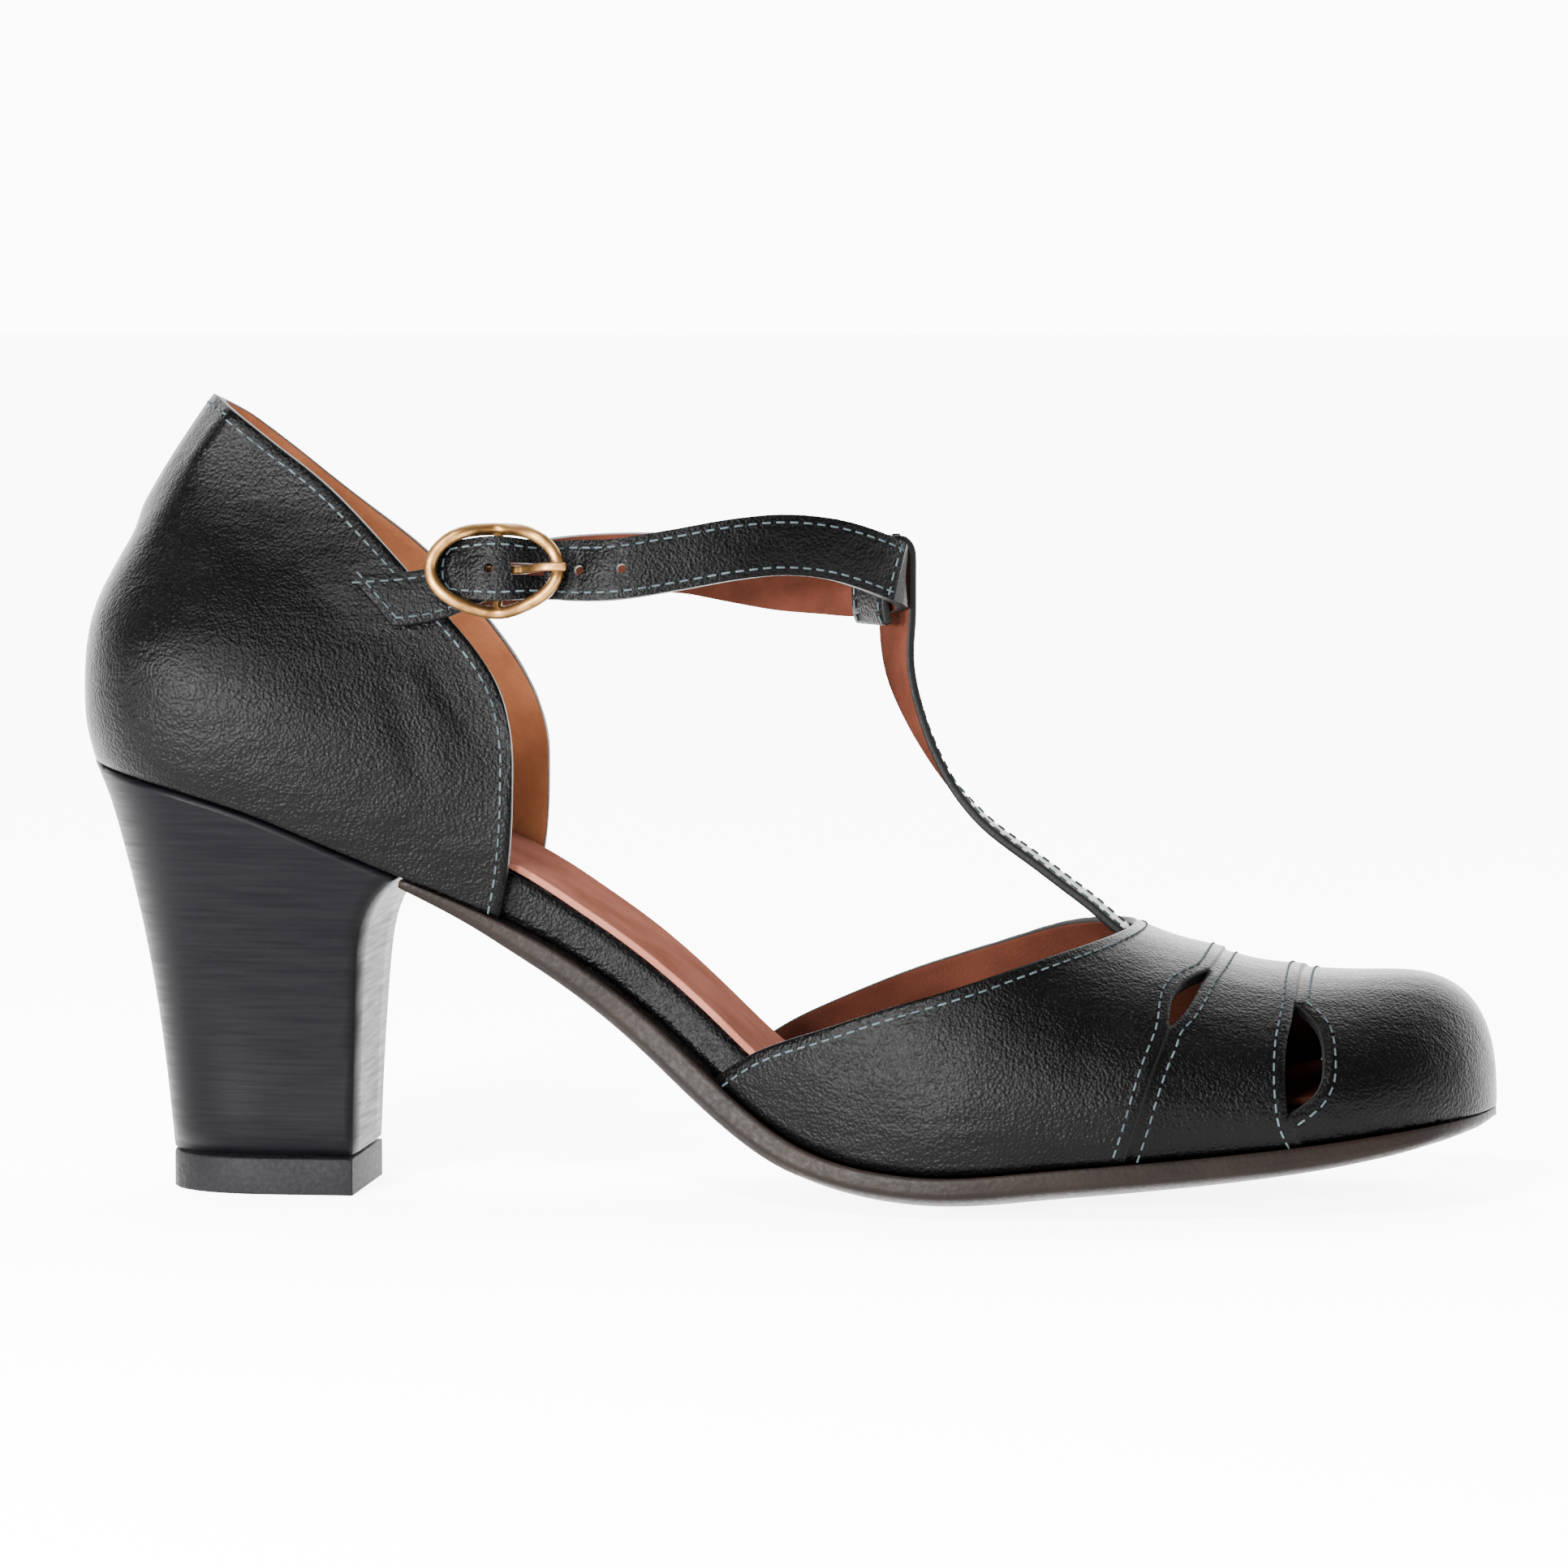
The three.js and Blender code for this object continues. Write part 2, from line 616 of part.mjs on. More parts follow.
function layer(from, to, roundHeel, inset, under, over, sagUnder, sagOver) {
  const xs = stationsAlong(from, to, roundHeel, 7.5);
  const sheet = (above, sag) =>
    xs.map((x) =>
      ACROSS.map((across) => layerPoint(x, across, inset, above(x, across), sag)),
    );
  return between(sheet(over, sagOver), sheet(under, sagUnder));
}

function makeOutsole() {
  const from = HEEL_BREAST + 2 * FIT_GAP;
  const xs = stationsAlong(from, LENGTH - FIT_GAP, false, 6.5);
  const margin = (x) => {
    const toTip = clamp(1 - (LENGTH - x) / TOE_FALL);
    return mix(-SOLE_MARGIN * clamp((x - from) / (LENGTH / 8)), FIT_GAP, toTip ** 2);
  };
  const top = xs.map((x) =>
    ACROSS.map((across) => layerPoint(x, across, margin(x), -FIT_GAP / 2, 1)),
  );
  const tread = xs.map((x) => {
    const thick = SOLE_EDGE * taper(x / LENGTH);
    const bevel = min(SOLE_BEVEL, thick / 2);
    return ACROSS.map((across, j) => {
      const rim = j === 0 || j === ACROSS.length - 1;
      const inset = margin(x) + (rim ? 0 : bevel);
      const side = rim ? across : across / max(...ACROSS.slice(0, -1));
      const point = layerPoint(x, side, inset, rim ? bevel - thick : -thick, 1);
      point.z = max(0, point.z);
      return point;
    });
  });
  return between(top, tread);
}

const bedThickness = column(FOOTBED_LINE, "full");
const bedFall = column(FOOTBED_LINE, "fall");
// Top of the footbed above the feather edge.
const bedTop = (x, across) => {
  const at = min(x / LENGTH, FOOTBED_LINE[FOOTBED_LINE.length - 1].at);
  return FOOTBED * (bedThickness(at) - bedFall(at) * ((1 + across) / 2));
};

function makeFootbed() {
  const inset = QUARTER_WALL + FIT_GAP;
  const under = () => FIT_GAP / 2;
  return layer(HEEL_INSET + inset, LENGTH - inset, true, inset, under, bedTop, 1, 0.3);
}

function makeInsole() {
  const inset = QUARTER_WALL + FIT_GAP + INSOLE_MARGIN;
  const under = (x, across) => bedTop(x, across) + FIT_GAP;
  const over = (x, across) => under(x, across) + INSOLE;
  return layer(HEEL_INSET + inset, LENGTH - inset, true, inset, under, over, 0.3, 0.3);
}

// Block or lift between two levels of the heel, from the outer side to the inner side.
function heelBetween(levels) {
  const depths = [...steps(9).map((s) => s * s * 0.6), 0.7, 0.8, 0.9, 1];
  const side = (hand) =>
    levels.map((level) => depths.map((depth) => heelPoint(level, depth, hand)));
  return between(side(-1), side(1));
}

const heelBack = column(HEEL_BLOCK, "back", "level");
const heelBreast = column(HEEL_BLOCK, "breast", "level");
const heelWidth = column(HEEL_BLOCK, "width", "level");

// A point of the heel: `level` runs from the top lift (0) to the seat (1), `depth` from the back
// to the breast. Levels below 0 go straight down.
function heelPoint(level, depth, hand) {
  const within = clamp(level);
  const back = mix(HEEL_BACK, HEEL_INSET, heelBack(within));
  const breast = mix(HEEL_BACK + LIFT_DEPTH, HEEL_BREAST, heelBreast(within));
  const x = mix(back, breast, depth);
  const liftHalf =
    (LIFT_WIDTH / 2) * roundedEnd((depth * LIFT_DEPTH) / LIFT_ROUND, ROUND_FULLNESS);
  const seatHalf = halfWidth(mix(HEEL_INSET, HEEL_BREAST, depth), hand);
  const low = LIFT_HEIGHT + FIT_GAP;
  const high = featherHeight(mix(HEEL_INSET, HEEL_BREAST, depth)) - FIT_GAP / 2;
  const z = level < 0 ? LIFT_HEIGHT * (1 + level) : mix(low, high, within);
  return vector(x, hand * mix(liftHalf, seatHalf, heelWidth(within)), z);
}

const makeHeelBlock = () => heelBetween(HEEL_BLOCK.map((row) => row.level));

function makeTopLift() {
  const flat = (level) =>
    [-1, 1].map((hand) => steps(12).map((s) => heelPoint(level, s ** 1.6, hand)));
  const [lowOuter, lowInner] = flat(-1);
  const [highOuter, highInner] = flat(-1e-9);
  return between([lowOuter, highOuter], [lowInner, highInner]);
}

// A shell from a grid of surface points and their outward normals.
function shell(grid, wall, keep) {
  const outside = grid.map((row) =>
    row.map(({ point, normal, lift = 0 }) => point.clone().addScaledVector(normal, lift)),
  );
  const inside = grid.map((row) =>
    row.map(({ point, normal, thin = 0 }) =>
      point.clone().addScaledVector(normal, thin - wall),
    ),
  );
  return between(outside, inside, keep);
}

// Outward normal of a surface given by two parameters, on the side that `outwards` points to.
function normalOf(surface, a, b, stepA, stepB, outwards) {
  const alongA = surface(a + stepA, b).sub(surface(a - stepA, b));
  const alongB = surface(a, b + stepB).sub(surface(a, b - stepB));
  const normal = alongA.cross(alongB).normalize();
  return normal.dot(outwards) < 0 ? normal.negate() : normal;
}

// Vamp.
const VAMP_CROWN = 0.9; // below 1 the section's sides stand steeper
const VAMP_SHOULDER = 0.8; // below 1 the section is fuller at the shoulder
const VAMP_BULGE = 0.12;

const vampRise = (x) =>
  VAMP_HEIGHT * ridge(x / LENGTH) * roundedEnd((LENGTH - x) / TOE_FALL, FALL_FULLNESS);

// Surface of the vamp: `turn` runs from 0 at the outer feather edge over the ridge to 1.
function vampPoint(x, turn) {
  const side = turn < 0.5 ? -1 : 1;
  const angle = PI * turn;
  const up = abs(sin(angle)) ** VAMP_CROWN;
  const reach = abs(cos(angle)) ** VAMP_SHOULDER + VAMP_BULGE * sin(PI * up) * (1 - up);
  return vector(
    x,
    middleLine(x) + side * halfWidth(x, side) * reach,
    featherHeight(x) + FIT_GAP / 2 + vampRise(x) * up,
  );
}

const turnAt = (up) => asin(min(1, up ** (1 / VAMP_CROWN))) / PI;
const upAt = (turn) => abs(sin(PI * turn)) ** VAMP_CROWN;

function vampTurns() {
  const half = VAMP_LINES.slice(0, -1).flatMap(({ up, cells }, i) =>
    steps(cells)
      .slice(0, -1)
      .map((s) => mix(turnAt(up), turnAt(VAMP_LINES[i + 1].up), s)),
  );
  return [...half, 0.5, ...half.map((turn) => 1 - turn).reverse()];
}

const outerTopline = column(VAMP_TOPLINE, "outer");
const innerTopline = column(VAMP_TOPLINE, "inner");
// Where the topline crosses a line of constant turn.
function toplineAt(turn) {
  const topline = turn < 0.5 ? outerTopline : innerTopline;
  const up = upAt(turn);
  const low = LENGTH * VAMP_TOPLINE[0].at;
  const above = (x) => VAMP_HEIGHT * topline(x / LENGTH) - vampRise(x) * up;
  return crossing(above, low, LENGTH * THROAT);
}

const vampEdge = column(VAMP_EDGE, "at", "up");
const vampGap = column(VAMP_EDGE, "gap", "up");
const bandEdge = column(BAND_EDGE, "at", "up");
const bandGap = column(BAND_EDGE, "gap", "up");

function makeVamp() {
  const turns = vampTurns();
  const rows = [];
  const addRows = (count, from, to, raised, ease = (s) => s) =>
    steps(count).forEach((s) =>
      rows.push((turn) => {
        const x = mix(from(turn), to(turn), ease(s));
        const near = raised ? clamp(1 - (to(turn) - x) / OVERLAP_LENGTH) : 0;
        return { x, lift: OVERLAP_RAISE * near * near * (3 - 2 * near) };
      }),
    );
  const rearOf = (edge) => (turn) =>
    LENGTH * edge(upAt(turn)) + (turn > 0.5 ? INNER_FORWARD * sin(PI * upAt(turn)) : 0);
  const frontOf = (edge, gap, width) => (turn) =>
    rearOf(edge)(turn) + max(OVERLAP_RUN, width * gap(upAt(turn)));
  const toTip = (s) => 1 - (1 - s) ** 2;
  addRows(10, toplineAt, rearOf(vampEdge), true);
  const firstSeam = rows.length - 1;
  addRows(5, frontOf(vampEdge, vampGap, REAR_CUTOUT), rearOf(bandEdge), true);
  const secondSeam = rows.length - 1;
  addRows(9, frontOf(bandEdge, bandGap, FRONT_CUTOUT), () => LENGTH, false, toTip);
  const grid = rows.map((row) =>
    turns.map((turn) => {
      const { x, lift } = row(turn);
      const point = vampPoint(x, turn);
      const outwards = vector(0.2 + 0.8 * (x / LENGTH) ** 20, point.y / BALL_WIDTH, 0.4);
      const near = min(x, LENGTH - 0.02);
      const normal =
        x > LENGTH - 0.01
          ? vector(1, 0, 0)
          : normalOf(vampPoint, near, min(max(turn, 0.003), 0.997), 0.01, 0.002, outwards);
      if (turn === turns[0] || turn === 1) normal.setZ(0).normalize();
      const skived = 1 - clamp((x - toplineAt(turn)) / SKIVED_LENGTH);
      return { point, normal, lift, thin: skived * (VAMP_WALL - SKIVED_WALL) };
    }),
  );
  const open = (gap, j) => {
    const ups = [turns[j], turns[j + 1]].map(upAt);
    return gap((ups[0] + ups[1]) / 2) > 0;
  };
  const keep = (i, j) =>
    !(i === firstSeam && open(vampGap, j)) && !(i === secondSeam && open(bandGap, j));
  return shell(grid, VAMP_WALL, keep);
}

// Half width of the collar above station `foot`.
function collarHalf(foot) {
  const round = roundedEnd((foot - HEEL_INSET) / COLLAR_ROUND, ROUND_FULLNESS);
  return BALL_WIDTH * collarShare(foot / LENGTH) * round;
}

// Quarter: a point of the counter above the feather edge at station `foot`, on one side.
function counterPoint(foot, up, side) {
  const share = up / BACK_HEIGHT;
  const drawn = clamp((share - COLLAR_FROM) / (COLLAR_TO - COLLAR_FROM));
  const wide = halfWidth(foot, side) * (1 + counterWiden(share));
  return vector(
    foot + LENGTH * counterShift(share),
    middleLine(foot) + side * mix(wide, collarHalf(foot), drawn * drawn * (3 - 2 * drawn)),
    featherHeight(foot) + up,
  );
}

// Half of the heel seat's outline, as lengths round from the back.
const SEAT_REACH = LENGTH * 0.42;
const seatOutline = (() => {
  const samples = steps(400).map((s) => mix(HEEL_INSET, SEAT_REACH, s * s));
  let round = 0;
  const table = samples.map((x, i) => {
    const before = samples[max(0, i - 1)];
    round += hypot(x - before, halfWidth(x, 1) - halfWidth(before, 1));
    return { round: round + i * 1e-9, x };
  });
  return column(table, "x", "round");
})();
const roundAt = (x) => crossing((round) => seatOutline(abs(round)) - x, 0, LENGTH);

// The counter by `round`, the length along the outline, negative on the outer side.
const counterSurface = (round, up) =>
  counterPoint(max(HEEL_INSET, seatOutline(abs(round))), up, round < 0 ? -1 : 1);

// The station and height above it of the counter's point that is seen at (x, z) from the side.
function counterAt(x, z) {
  const foot = crossing(
    (f) => f + LENGTH * counterShift((z - featherHeight(f)) / BACK_HEIGHT) - x,
    HEEL_INSET,
    SEAT_REACH,
  );
  return { foot, up: z - featherHeight(foot) };
}

function makeQuarter() {
  const peak = HEEL_HEIGHT + BACK_HEIGHT;
  const footEnd = roundAt(QUARTER_FRONT * LENGTH);
  const half = (side) => {
    const name = side < 0 ? "outer" : "inner";
    const line = new THREE.CatmullRomCurve3(
      QUARTER_TOPLINE.map((row) => vector(row.at * LENGTH, 0, row[name] * peak)),
    );
    return steps(15).map((s) => {
      const foot = seatOutline(mix(footEnd, 0, s));
      const seen = line.getPointAt(s);
      const top = s === 1 ? { foot: HEEL_INSET, up: BACK_HEIGHT } : counterAt(seen.x, seen.z);
      return { foot: max(HEEL_INSET, foot), top, front: (1 - s) ** 3, side };
    });
  };
  const columns = [...half(-1), ...half(1).slice(0, -1).reverse()];
  const grid = steps(11).map((s) =>
    columns.map(({ foot, top, front, side }) => {
      const up = mix(FIT_GAP / 2, top.up, s);
      const shift = LENGTH * counterShift(up / BACK_HEIGHT);
      const topShift = LENGTH * counterShift(top.up / BACK_HEIGHT);
      const straight =
        mix(foot, top.foot + topShift, s) - shift + QUARTER_BOW * sin(PI * s);
      const station = mix(mix(foot, top.foot, s), straight, front);
      const point = counterPoint(station, up, side);
      const round = side * roundAt(station);
      const outwards = vector(station < HEEL_ROUND ? -0.4 : 0, point.y / BALL_WIDTH, 0);
      const normal = normalOf(counterSurface, round, up, 0.3, 0.3, outwards);
      return { point, normal };
    }),
  );
  return shell(grid, QUARTER_WALL);
}

// A point just outside the quarter, seen from the side at a share of the length and a height
// above the feather edge.
function onQuarter(at, up, side, lift) {
  const x = at * LENGTH;
  const seen = counterAt(x, featherHeight(x) + up * BACK_HEIGHT);
  const round = side * roundAt(seen.foot);
  const outwards = vector(0, side, 0);
  const normal = normalOf(counterSurface, round, seen.up, 0.3, 0.3, outwards);
  return counterPoint(seen.foot, seen.up, side).addScaledVector(normal, lift);
}

const strapLine = (points, count) =>
  new THREE.CatmullRomCurve3(points, false, "centripetal").getSpacedPoints(count);
const lean = radians(STRAP_LEAN);

// The buckle's own frame: its bar, along the strap to the front, across it, and outwards.
const barAt = (() => {
  const up = STRAP_HEIGHT / BACK_HEIGHT;
  const last = SEWN_END[SEWN_END.length - 1];
  const point = onQuarter(last.at, last.up, -1, BUCKLE_LIFT);
  const x = BUCKLE_AT * LENGTH;
  return vector(x, point.y, featherHeight(x) + up * BACK_HEIGHT);
})();
const buckleUp = vector(0, sin(lean), cos(lean));
const buckleOut = vector(0, -cos(lean), sin(lean));
const inBuckle = (front, out, up = 0) =>
  barAt
    .clone()
    .addScaledVector(vector(1, 0, 0), front)
    .addScaledVector(buckleOut, out)
    .addScaledVector(buckleUp, up);

// The same from a row of the strap's tip or of the prong.
const throughBuckle = ({ front, out }) =>
  inBuckle((front * BUCKLE_LENGTH) / 2, out * BUCKLE_BOW);

function ankleStrapLine() {
  const offset = STRAP_THICKNESS / 2 + SEWN_GAP;
  const sewn = SEWN_END.map(({ at, up }) => onQuarter(at, up, 1, offset));
  const free = ANKLE_STRAP.map(({ along, across, rise }) =>
    vector(
      barAt.x + STRAP_REACH * along,
      (STRAP_SPAN / 2) * across,
      barAt.z + STRAP_WIDTH * rise,
    ),
  );
  const tip = STRAP_TIP.map(throughBuckle);
  return [...sewn, ...free, ...tip];
}

// Direction across an upright strap: along the quarter where it is sewn on, then upwards with the
// straps' own lean.
function upright(points, i, side) {
  const along = points[min(points.length - 1, i + 1)].clone().sub(points[max(0, i - 1)]);
  const out = vector(along.y, -along.x, 0).normalize();
  if (side < 0 !== out.y < 0 && abs(out.y) > 0.5) out.negate();
  const inLoop = 1 - (points[i].x - barAt.x) / STRAP_REACH;
  const tilt = lean * clamp(4 * inLoop - 0.6);
  const free = vector(-out.x * sin(tilt), -out.y * sin(tilt), cos(tilt));
  const { at, up } = SEWN_END[1];
  const reach = STRAP_WIDTH / 2 / BACK_HEIGHT;
  const sewn = onQuarter(at, up + reach, side, 0).sub(onQuarter(at, up - reach, side, 0));
  const away = clamp((points[i].x - SEWN_END[2].at * LENGTH) / HOLE_PITCH);
  return sewn.normalize().lerp(free, away);
}

const ankleLine = strapLine(ankleStrapLine(), 96);

function makeAnkleStrap() {
  const tipWidth = column(STRAP_TIP.slice().reverse(), "width", "front");
  const outside = (p) => p.y < -STRAP_WIDTH / 2;
  const stations = ankleLine.map((centre, i) => {
    const outer = outside(centre) && i > ankleLine.length / 2;
    const front = (2 * (centre.x - barAt.x)) / BUCKLE_LENGTH;
    return {
      centre,
      across: upright(ankleLine, i, outer ? -1 : 1),
      width: STRAP_WIDTH * (outer ? tipWidth(min(front, STRAP_TIP[0].front)) : 1),
      skew: -END_SKEW * clamp(1 - i / 8),
    };
  });
  const whole = solidOf(strap(stations, STRAP_THICKNESS));
  const offBar = (p, front) => abs(p.x - barAt.x - front);
  const nearest = (front) =>
    ankleLine
      .filter(outside)
      .reduce((best, p) => (offBar(p, front) < offBar(best, front) ? p : best));
  const drill = 2 * STRAP_THICKNESS;
  const holes = [0, 2, 3].map((n) => {
    const at = nearest(n * HOLE_PITCH);
    const ends = [-drill, drill].map((lift) => at.clone().addScaledVector(buckleOut, lift));
    return solidOf(tube(ends, HOLE_RADIUS, 10));
  });
  const slotStations = PRONG_SLOT.map((row) => ({
    centre: throughBuckle(row),
    across: buckleUp,
    width: PRONG_WIDTH + 2 * FIT_GAP,
  }));
  const slot = solidOf(strap(slotStations, 2 * drill));
  return geometryOf([slot, ...holes].reduce((rest, cut) => rest.subtract(cut), whole));
}

// The tab is sewn to the outer quarter and folded round the buckle's bar.
function makeTab() {
  const offset = TAB_THICKNESS / 2 + SEWN_GAP;
  const sewn = SEWN_END.map(({ at, up }) => onQuarter(at, up, -1, offset));
  const round = BAR_RADIUS + FIT_GAP + TAB_THICKNESS / 2;
  const fold = steps(10).map((s) => {
    const angle = PI * (-0.5 + 1.3 * s);
    return inBuckle(round * cos(angle), round * sin(angle));
  });
  const sewnCells = 12;
  const behindBar = inBuckle(-1.5 * round, -round);
  const line = [...strapLine([...sewn, behindBar], sewnCells), ...fold];
  const stations = line.map((centre, i) => ({
    centre,
    across: i < sewnCells ? upright(line, i, -1) : buckleUp,
    width: TAB_WIDTH,
    skew: -END_SKEW * clamp(1 - i / 5),
  }));
  const slot = (PRONG_WIDTH / 2 + FIT_GAP) / TAB_WIDTH;
  const keep = (i, j) => !(j === 1 && i >= sewnCells);
  return strap(stations, TAB_THICKNESS, [-0.5, -slot, slot, 0.5], keep);
}

function makeBuckle() {
  const wire = BUCKLE_WIRE / 2;
  const ring = steps(44)
    .slice(0, -1)
    .map((s) => {
      const angle = 2 * PI * s;
      return inBuckle(
        (BUCKLE_LENGTH / 2 - wire) * cos(angle),
        BUCKLE_BOW * (1 - sin(angle) ** 12),
        (BUCKLE_HEIGHT / 2 - wire) * sin(angle),
      );
    });
  const half = BUCKLE_HEIGHT / 2 - wire;
  const bar = tube([inBuckle(0, 0, -half), inBuckle(0, 0, half)], BAR_RADIUS, 10);
  return geometryOf(solidOf(tube(ring, wire, 12, true)).add(solidOf(bar)));
}

function makeProng() {
  const points = strapLine(PRONG.map(throughBuckle), 24);
  const stations = points.map((centre) => ({ centre, across: buckleUp, width: PRONG_WIDTH }));
  return strap(stations, PRONG_THICKNESS);
}

function makeTStrap() {
  const throatX = THROAT * LENGTH;
  const throat = vector(throatX, middleLine(throatX), featherHeight(throatX) + VAMP_HEIGHT);
  const yaw = radians(T_YAW);
  const out = vector(cos(yaw), sin(yaw), 0);
  const aim = vector(
    barAt.x + STRAP_REACH * LOOP_AT.along,
    (STRAP_SPAN / 2) * LOOP_AT.across,
    barAt.z,
  );
  const held = ankleLine.reduce((best, p) =>
    p.distanceTo(aim) < best.distanceTo(aim) ? p : best,
  );
  const reach = (STRAP_THICKNESS + T_THICKNESS) / 2 + LOOP_GAP;
  const foot = held.clone().addScaledVector(out, reach - T_TUCK);
  const rows = T_STRAP.map(({ back, up, turn, width }) => ({
    centre: vector(
      mix(throat.x, foot.x, back),
      mix(throat.y, foot.y, back),
      throat.z + T_RISE * up,
    ),
    turn,
    width,
  }));
  const top = held.z + STRAP_WIDTH / 2;
  const low = held.z - STRAP_WIDTH / 2;
  const loopPoint = (lift, z) => held.clone().addScaledVector(out, lift).setZ(z);
  const near = STRAP_WIDTH / 5;
  const rise = [low - near, low + near, held.z, top - near].map((z) => loopPoint(reach, z));
  const over = steps(8).map((s) =>
    loopPoint(reach * cos(PI * s), top + reach * sin(PI * s)),
  );
  const fall = [
    ...[top - near, held.z, low].map((z) => loopPoint(-reach, z)),
    loopPoint(T_DRAW - reach, low - T_LAP),
  ];
  const stations = rows.map(({ centre, turn, width }) => {
    const angle = yaw * turn;
    return { centre, across: vector(sin(angle), -cos(angle), 0), width: T_WIDTH * width };
  });
  const loop = [...rise, ...over, ...fall].map((centre) => ({
    centre,
    across: vector(sin(yaw), -cos(yaw), 0),
    width: T_WIDTH,
  }));
  return strap([...stations, ...loop], T_THICKNESS);
}

// Materials.
const finish = (color, roughness, metalness = 0) =>
  new THREE.MeshStandardMaterial({ color, roughness, metalness });
const blackCalf = finish(0x232326, 0.45);
const brownEdge = finish(0x33261f, 0.5);
const heelCover = finish(0x1f1f22, 0.35);
const liftRubber = finish(0x1b1b1d, 0.7);
const sockLeather = finish(0xd07a5c, 0.6);
const agedBrass = finish(0xa98a5c, 0.35, 1);

const pieces = new THREE.Group();
function place(name, geometry, material) {
  const mesh = new THREE.Mesh(geometry, material);
  mesh.name = name;
  pieces.add(mesh);
}

place("outsole", makeOutsole(), brownEdge);
place("heel_block", makeHeelBlock(), heelCover);
place("top_lift", makeTopLift(), liftRubber);
place("footbed", makeFootbed(), blackCalf);
place("insole", makeInsole(), sockLeather);
place("quarter", makeQuarter(), blackCalf);
place("vamp", makeVamp(), blackCalf);
place("ankle_strap", makeAnkleStrap(), blackCalf);
place("t_strap", makeTStrap(), blackCalf);
place("buckle_tab", makeTab(), blackCalf);
place("buckle_frame", makeBuckle(), agedBrass);
place("buckle_prong", makeProng(), agedBrass);

// Origin at the middle of the box's underside.
const box = new THREE.Box3().setFromObject(pieces);
const middle = box.getCenter(vector(0, 0, 0));
pieces.position.set(-middle.x, -middle.y, -box.min.z);

const shoe = new THREE.Group();
shoe.add(pieces);

export default shoe;
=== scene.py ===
"""Looks of a black calf T-strap shoe with a block heel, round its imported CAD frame."""

import math

import bmesh
import bpy
import numpy as np
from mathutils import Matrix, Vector
from mathutils.bvhtree import BVHTree


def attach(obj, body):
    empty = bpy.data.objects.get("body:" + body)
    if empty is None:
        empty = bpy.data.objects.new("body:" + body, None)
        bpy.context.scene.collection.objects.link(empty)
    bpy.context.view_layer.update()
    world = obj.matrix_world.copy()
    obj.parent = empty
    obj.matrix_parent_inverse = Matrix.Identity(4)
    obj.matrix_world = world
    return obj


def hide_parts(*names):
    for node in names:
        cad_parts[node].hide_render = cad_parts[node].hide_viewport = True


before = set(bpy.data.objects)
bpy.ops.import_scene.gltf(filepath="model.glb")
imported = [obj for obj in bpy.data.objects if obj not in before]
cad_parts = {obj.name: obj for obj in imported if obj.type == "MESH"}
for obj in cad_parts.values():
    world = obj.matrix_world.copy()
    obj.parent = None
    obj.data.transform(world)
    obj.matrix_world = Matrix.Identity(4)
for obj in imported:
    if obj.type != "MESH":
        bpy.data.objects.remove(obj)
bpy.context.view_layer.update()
MM = 0.001

# Places on the shoe, along it from the middle of its box and above the floor.
QUARTER_X = -72 * MM
STRAP_X = -14 * MM
TOE_BOX_X = 90 * MM
SOLE_Z = 12 * MM

# Where the painted shade of the linings begins towards the toe, and where it is darkest.
TOE_SHADE_FROM = 46 * MM
TOE_SHADE_TO = 78 * MM

# Seams and threads.
THREAD_WIDTH = 0.38 * MM
STITCH_PITCH = 2.3 * MM
STITCH_LENGTH = 1.45 * MM
STITCH_SINK = 0.1 * MM
SEAM_MARGIN = 1.9 * MM
STRAP_MARGIN = 1.3 * MM

# A group of faces below this share of the largest is a step or a rim.
NARROW_SHARE = 0.035

# Corners, rounded edges and the weld of loose triangles.
SMOOTH_ANGLE = math.radians(42)
THREAD_SIDES = 8
SMALL_EDGE = 0.3 * MM
LIFT_EDGE = 0.4 * MM
WELD = 0.004 * MM


# Materials.
def linear(hex_value):
    """Linear RGBA of an sRGB hex value."""
    channels = [int(hex_value[i : i + 2], 16) / 255 for i in (1, 3, 5)]
    return (*((c / 12.92 if c <= 0.04045 else ((c + 0.055) / 1.055) ** 2.4) for c in channels), 1)


def add_node(tree, kind, links=None, **settings):
    """Adds a shader node; settings name its properties or inputs, links its linked inputs."""
    node = tree.nodes.new(kind)
    for name, value in settings.items():
        if hasattr(node, name):
            setattr(node, name, value)
        else:
            node.inputs[name.replace("_", " ")].default_value = value
    for name, source in (links or {}).items():
        tree.links.new(source, node.inputs[name])
    return node


def material(name, **shader):
    """An empty material with a principled shader whose constant sockets are set."""
    made = bpy.data.materials.new(name)
    made.use_nodes = True
    tree = made.node_tree
    principled = tree.nodes["Principled BSDF"]
    for socket, value in shader.items():
        principled.inputs[socket.replace("_", " ")].default_value = value
    return made, tree, principled


def ramp_between(tree, factor, stops):
    """A colour ramp through (position, colour or grey) stops."""
    node = add_node(tree, "ShaderNodeValToRGB", {"Fac": factor})
    elements = node.color_ramp.elements
    while len(elements) < len(stops):
        elements.new(0.5)
    for element, (position, value) in zip(elements, stops):
        element.position = position
        element.color = value if isinstance(value, tuple) else (value, value, value, 1)
    return node.outputs["Color"]


